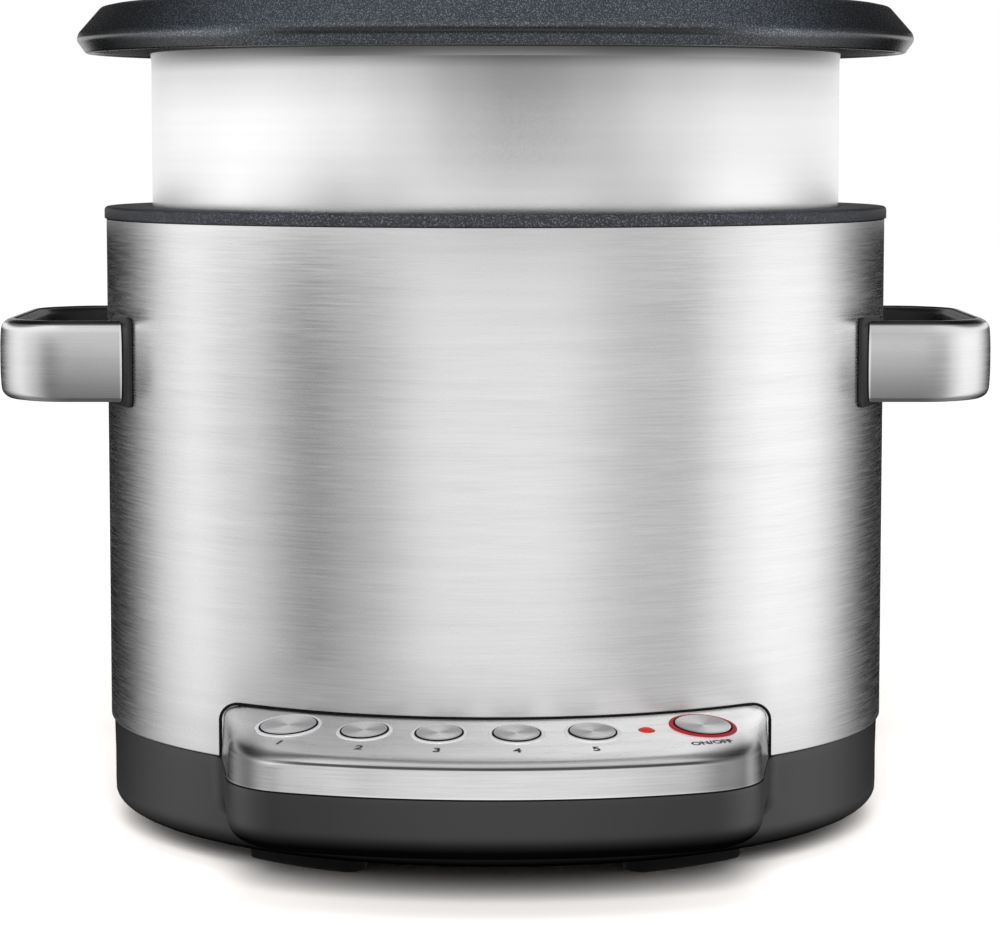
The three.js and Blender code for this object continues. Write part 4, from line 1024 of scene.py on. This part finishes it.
for sideName in ("left", "right"):
    for endName in ("front", "rear"):
        node = "handle_bracket_" + sideName + "_" + endName
        pieceFrom(collarMesh(node, 1.4 * mm, 0.5 * mm, 2.5 * mm), sideName + endName.title() + "Collar",
                  ["bracketGrey"], slot="dark_trim", stands=[node])
print("handles made")


# Feet and screws

pad = {
    "inner": 102, "outer": 117, "start": 24, "end": 48, "height": 7, "round": 1.6, "nose": 5,
    "steps": 40,
}


def footMesh(start, end):
    section = roundedPath([
        (pad["inner"], 0, pad["round"]), (pad["outer"], 0, pad["round"]),
        (pad["outer"], pad["height"]), (pad["inner"], pad["height"]),
    ], 5)
    middle = (pad["inner"] + pad["outer"]) / 2
    rows = []
    for k in range(pad["steps"] + 1):
        share = k / pad["steps"]
        turn = start + (end - start) * share
        ends = min(share, 1 - share) * abs(end - start) * middle
        narrow = sqrt(max(1 - (1 - min(ends / pad["nose"], 1)) ** 2, 0.02))
        rows.append([around(turn, middle + (reach - middle) * narrow, level) for reach, level in section])
    return rowsMesh(rows, capped=True)


start, end = radians(pad["start"]), radians(pad["end"])
for node, low, high in (
    ("foot_front_left", -end, -start), ("foot_front_right", start, end),
    ("foot_rear_left", start - pi, end - pi), ("foot_rear_right", pi - end, pi - start),
):
    pieceFrom(footMesh(low, high), titled(node) + "Pad", ["footRubber"], slot="foot_rubber", stands=[node])

# cross-headed screws standing evenly on a circle, heads down
screws = Grower("screwCircle", {
    "Count": "Int", "Circle": "Float", "Head Radius": "Float", "Head Height": "Float", "Finish": "Material"})
headRadius, headHeight = screws.given("Head Radius"), screws.given("Head Height")
circle = screws.node("GeometryNodeMeshCircle", values={
    "Vertices": screws.given("Count"), "Radius": screws.given("Circle")})
head = screws.node("GeometryNodeMeshCylinder", values={
    "Vertices": 32, "Radius": headRadius, "Depth": headHeight})
across, narrow = headRadius * 1.3, headRadius * 0.28
sunk = screws.vector(0, 0, headHeight * -0.6)
bars = []
for size in ((across, narrow), (narrow, across)):
    bar = screws.node("GeometryNodeMeshCube", values={"Size": screws.vector(*size, headHeight)})
    bars.append(screws.node("GeometryNodeTransform", values={"Geometry": bar, "Translation": sunk}))
cut = screws.node("GeometryNodeMeshBoolean", {"operation": "DIFFERENCE"}, {0: head, 1: bars[0]})
screws.feed(cut.socket.node.inputs[1], bars[1])
screws.close(screws.node("GeometryNodeInstanceOnPoints", values={"Points": circle, "Instance": cut}))

screw = {"count": 4, "circle": 92.5, "headRadius": 3.5, "headHeight": 0.9, "level": 6.85}
turned = Matrix.Translation((0, axisY, screw["level"] * mm)) @ Matrix.Rotation(pi / 4, 4, "Z")
screwHeads = screws.grow({
    "Count": screw["count"], "Circle": screw["circle"] * mm, "Head Radius": screw["headRadius"] * mm,
    "Head Height": screw["headHeight"] * mm, "Finish": finishes["screwSteel"].material,
}, "baseScrewHeads", turned)
dress(screwHeads, [], slot="plated_steel")
print("feet and screws made")


# CAD nodes that stay get their own finish

kept = {
    "linerSheet": ["inner_pot_liner", "sensor_guide", "liner_support"],
    "castPlate": ["heating_plate", "sensor_cap"],
    "springSteel": ["heating_element", "plate_spider", "sensor_spring", "inlet_pins"],
    "ceramic": ["thermal_fuse", "panel_ribbon"],
    "handleBlack": ["panel_button_frame", "switch_strip", "mains_inlet", "relay", "heater_leads",
                    "mains_leads"],
    "boardGreen": ["control_board", "power_board"],
    "redLens": ["keep_warm_led"],
    "basePlastic": ["bottom_cover"],
    "screwSteel": [kind + "_screw_" + str(number) for kind in ("base", "handle") for number in range(1, 5)],
    "copper": ["transformer"],
}
for finishName, names in kept.items():
    for name in names:
        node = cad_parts[name]
        if not node.material_slots:
            node.data.materials.append(finishes[finishName].material)
        for slotHere in node.material_slots:
            slotHere.material = finishes[finishName].material
print("kept nodes finished:", sum(len(names) for names in kept.values()))


# Stage: floor, reflection wall, lamps, world and camera

stage = {"floor": 6, "wallRadius": 450, "wallSides": 240, "ambient": 0.36}


def stageTree(piece, name):
    material = bpy.data.materials.new(name)
    material.use_nodes = True
    piece.data.materials.append(material)
    return Tree(material.node_tree)


floorMesh = bmesh.new()
bmesh.ops.create_grid(floorMesh, x_segments=8, y_segments=8, size=stage["floor"])
floor = objectFrom(floorMesh, "studioFloor")
tree = stageTree(floor, "floorPaper")
paper = tree.node("ShaderNodeBsdfDiffuse", values={"Color": (0.93, 0.9, 0.875, 1)})
tree.node("ShaderNodeOutputMaterial", values={"Surface": paper})
floor.visible_glossy = False

# Light that the metal mirrors at each azimuth, front at 0 and right positive, as (degrees, level):
# one round of cards for the steel shell, and others above it for the bowl, its flange and what faces up
shellCards = [
    (-180, 0.3), (-164, 0.22), (-150, 0), (-134, 0), (-126, 0.02), (-118, 0.1), (-108, 0.38),
    (-97, 0.82), (-84, 1.08), (-67, 0.78), (-45, 0.3), (-34, 0.52), (-13, 0.95), (12, 0.97), (37, 0.62),
    (48, 0.58), (60, 0.97), (72, 1.2), (90, 1.16), (100, 0.8), (110, 0.36), (120, 0.08), (128, 0.01),
    (150, 0), (164, 0.2), (180, 0.3),
]
bowlCards = [
    (-180, 0.95), (-135, 0.98), (-108, 1.1), (-70, 1.16), (-43, 1.06), (-26, 0.83), (-10, 0.52), (4, 0.38),
    (14, 0.41), (28, 0.56), (49, 0.8), (78, 0.96), (110, 0.98), (150, 1), (180, 0.95),
]
flangeCards = [
    (-180, 0.1), (-125, 0.05), (-100, 0.25), (-70, 0.6), (-40, 0.4), (0, 0.3), (40, 0.4), (70, 0.6),
    (100, 0.25), (125, 0.05), (180, 0.1),
]
skyCards = [
    (-180, 0.12), (-120, 0.04), (-90, 0.12), (-60, 0.45), (-35, 0.62), (35, 0.62), (60, 0.45), (90, 0.12),
    (120, 0.04), (180, 0.12),
]
evenCards = [(-180, 1), (180, 1)]
wallRows = [
    (-800, 0.35, evenCards), (-150, 0.3, evenCards), (-35, 1, shellCards), (203, 1, shellCards),
    (219, 1, bowlCards), (292, 1, bowlCards), (325, 1, flangeCards), (440, 1, skyCards), (700, 0.9, skyCards),
    (1200, 0.2, evenCards),
]


def cardLevel(cards, degrees):
    for (low, lowTone), (high, highTone) in zip(cards, cards[1:]):
        if low <= degrees <= high:
            return lowTone + (highTone - lowTone) * eased((degrees - low) / (high - low))


# a closed round tent that only reflections see, with its grey and white cards as tones
turns = [-180 + 360 * k / stage["wallSides"] for k in range(stage["wallSides"])]
rows = [[around(radians(turn), stage["wallRadius"], row[0]) for turn in turns] for row in wallRows]
tent = objectFrom(rowsMesh(rows, capped=True), "reflectionWall")
levels = [level * cardLevel(cards, turn) for _, level, cards in wallRows for turn in turns]
tones = tent.data.attributes.new("tone", "FLOAT_COLOR", "POINT")
for corner, level in zip(tones.data, levels):
    corner.color = (level, level, level, 1)
tree = stageTree(tent, "wallTones")
seen = tree.node("ShaderNodeVertexColor", {"layer_name": "tone"})
glow = tree.node("ShaderNodeEmission", values={"Color": seen})
tree.node("ShaderNodeOutputMaterial", values={"Surface": glow})
for ray in ("camera", "diffuse", "transmission", "volume_scatter", "shadow"):
    setattr(tent, "visible_" + ray, False)


def hang(light, azimuth, elevation, distance):
    # hangs a light that faces the housing, unseen itself
    lamp = added(light.name, light)
    turn, rise = radians(azimuth), radians(elevation)
    towards = Vector((sin(turn) * cos(rise), -cos(turn) * cos(rise), sin(rise)))
    lamp.location = Vector((0, axisY, 0.15)) + towards * distance
    lamp.rotation_mode = "QUATERNION"
    lamp.rotation_quaternion = towards.to_track_quat("Z", "Y")
    lamp.visible_glossy = False
    lamp.visible_camera = False


softboxes = {
    "leftSoftbox": {"place": (-75, 18, 1.3), "width": 0.6, "height": 1.2, "power": 5},
    "rightSoftbox": {"place": (80, 18, 1.3), "width": 0.6, "height": 1.2, "power": 4},
    "topSoftbox": {"place": (10, 70, 1.5), "width": 1.2, "height": 0.9, "power": 5},
}
for name, box in softboxes.items():
    light = bpy.data.lights.new(name, "AREA")
    light.shape = "RECTANGLE"
    light.size, light.size_y = box["width"], box["height"]
    light.energy = box["power"]
    hang(light, *box["place"])
sun = bpy.data.lights.new("frontSun", "SUN")
sun.energy = 5.4
sun.angle = radians(24)
hang(sun, 0, 27, 3)

# the world is plain white to the camera and to reflections, and a dimmer light on everything else
world = bpy.data.worlds.new("studio")
bpy.context.scene.world = world
world.use_nodes = True
tree = Tree(world.node_tree)
kinds = ("Is Camera Ray", "Is Glossy Ray", "Is Transmission Ray")
direct, mirrorlike, through = [tree.node("ShaderNodeLightPath", output=kind) for kind in kinds]
seen = direct.sum("MAXIMUM", direct.sum("MAXIMUM", direct, mirrorlike), through)
white = (1, 1, 1, 1)
dim = tree.node("ShaderNodeBackground", values={"Color": white, "Strength": stage["ambient"]})
plain = tree.node("ShaderNodeBackground", values={"Color": white})
mix = tree.node("ShaderNodeMixShader", values={0: seen, 1: dim, 2: plain})
tree.node("ShaderNodeOutputWorld", values={"Surface": mix})

view = {"lens": 123.95, "distance": 1.25, "height": 0.2483, "pitch": 5.434, "side": 0.00163}
camera = bpy.data.cameras.new("photoCamera")
camera.lens = view["lens"]
camera.sensor_width = 36
camera.clip_start, camera.clip_end = 0.05, 50
cameraObject = added("photoCamera", camera)
cameraObject.location = (view["side"], axisY - view["distance"], view["height"])
cameraObject.rotation_euler = (radians(90 - view["pitch"]), 0, 0)
bpy.context.scene.camera = cameraObject
bpy.context.scene.view_settings.view_transform = "Standard"
print("stage made")
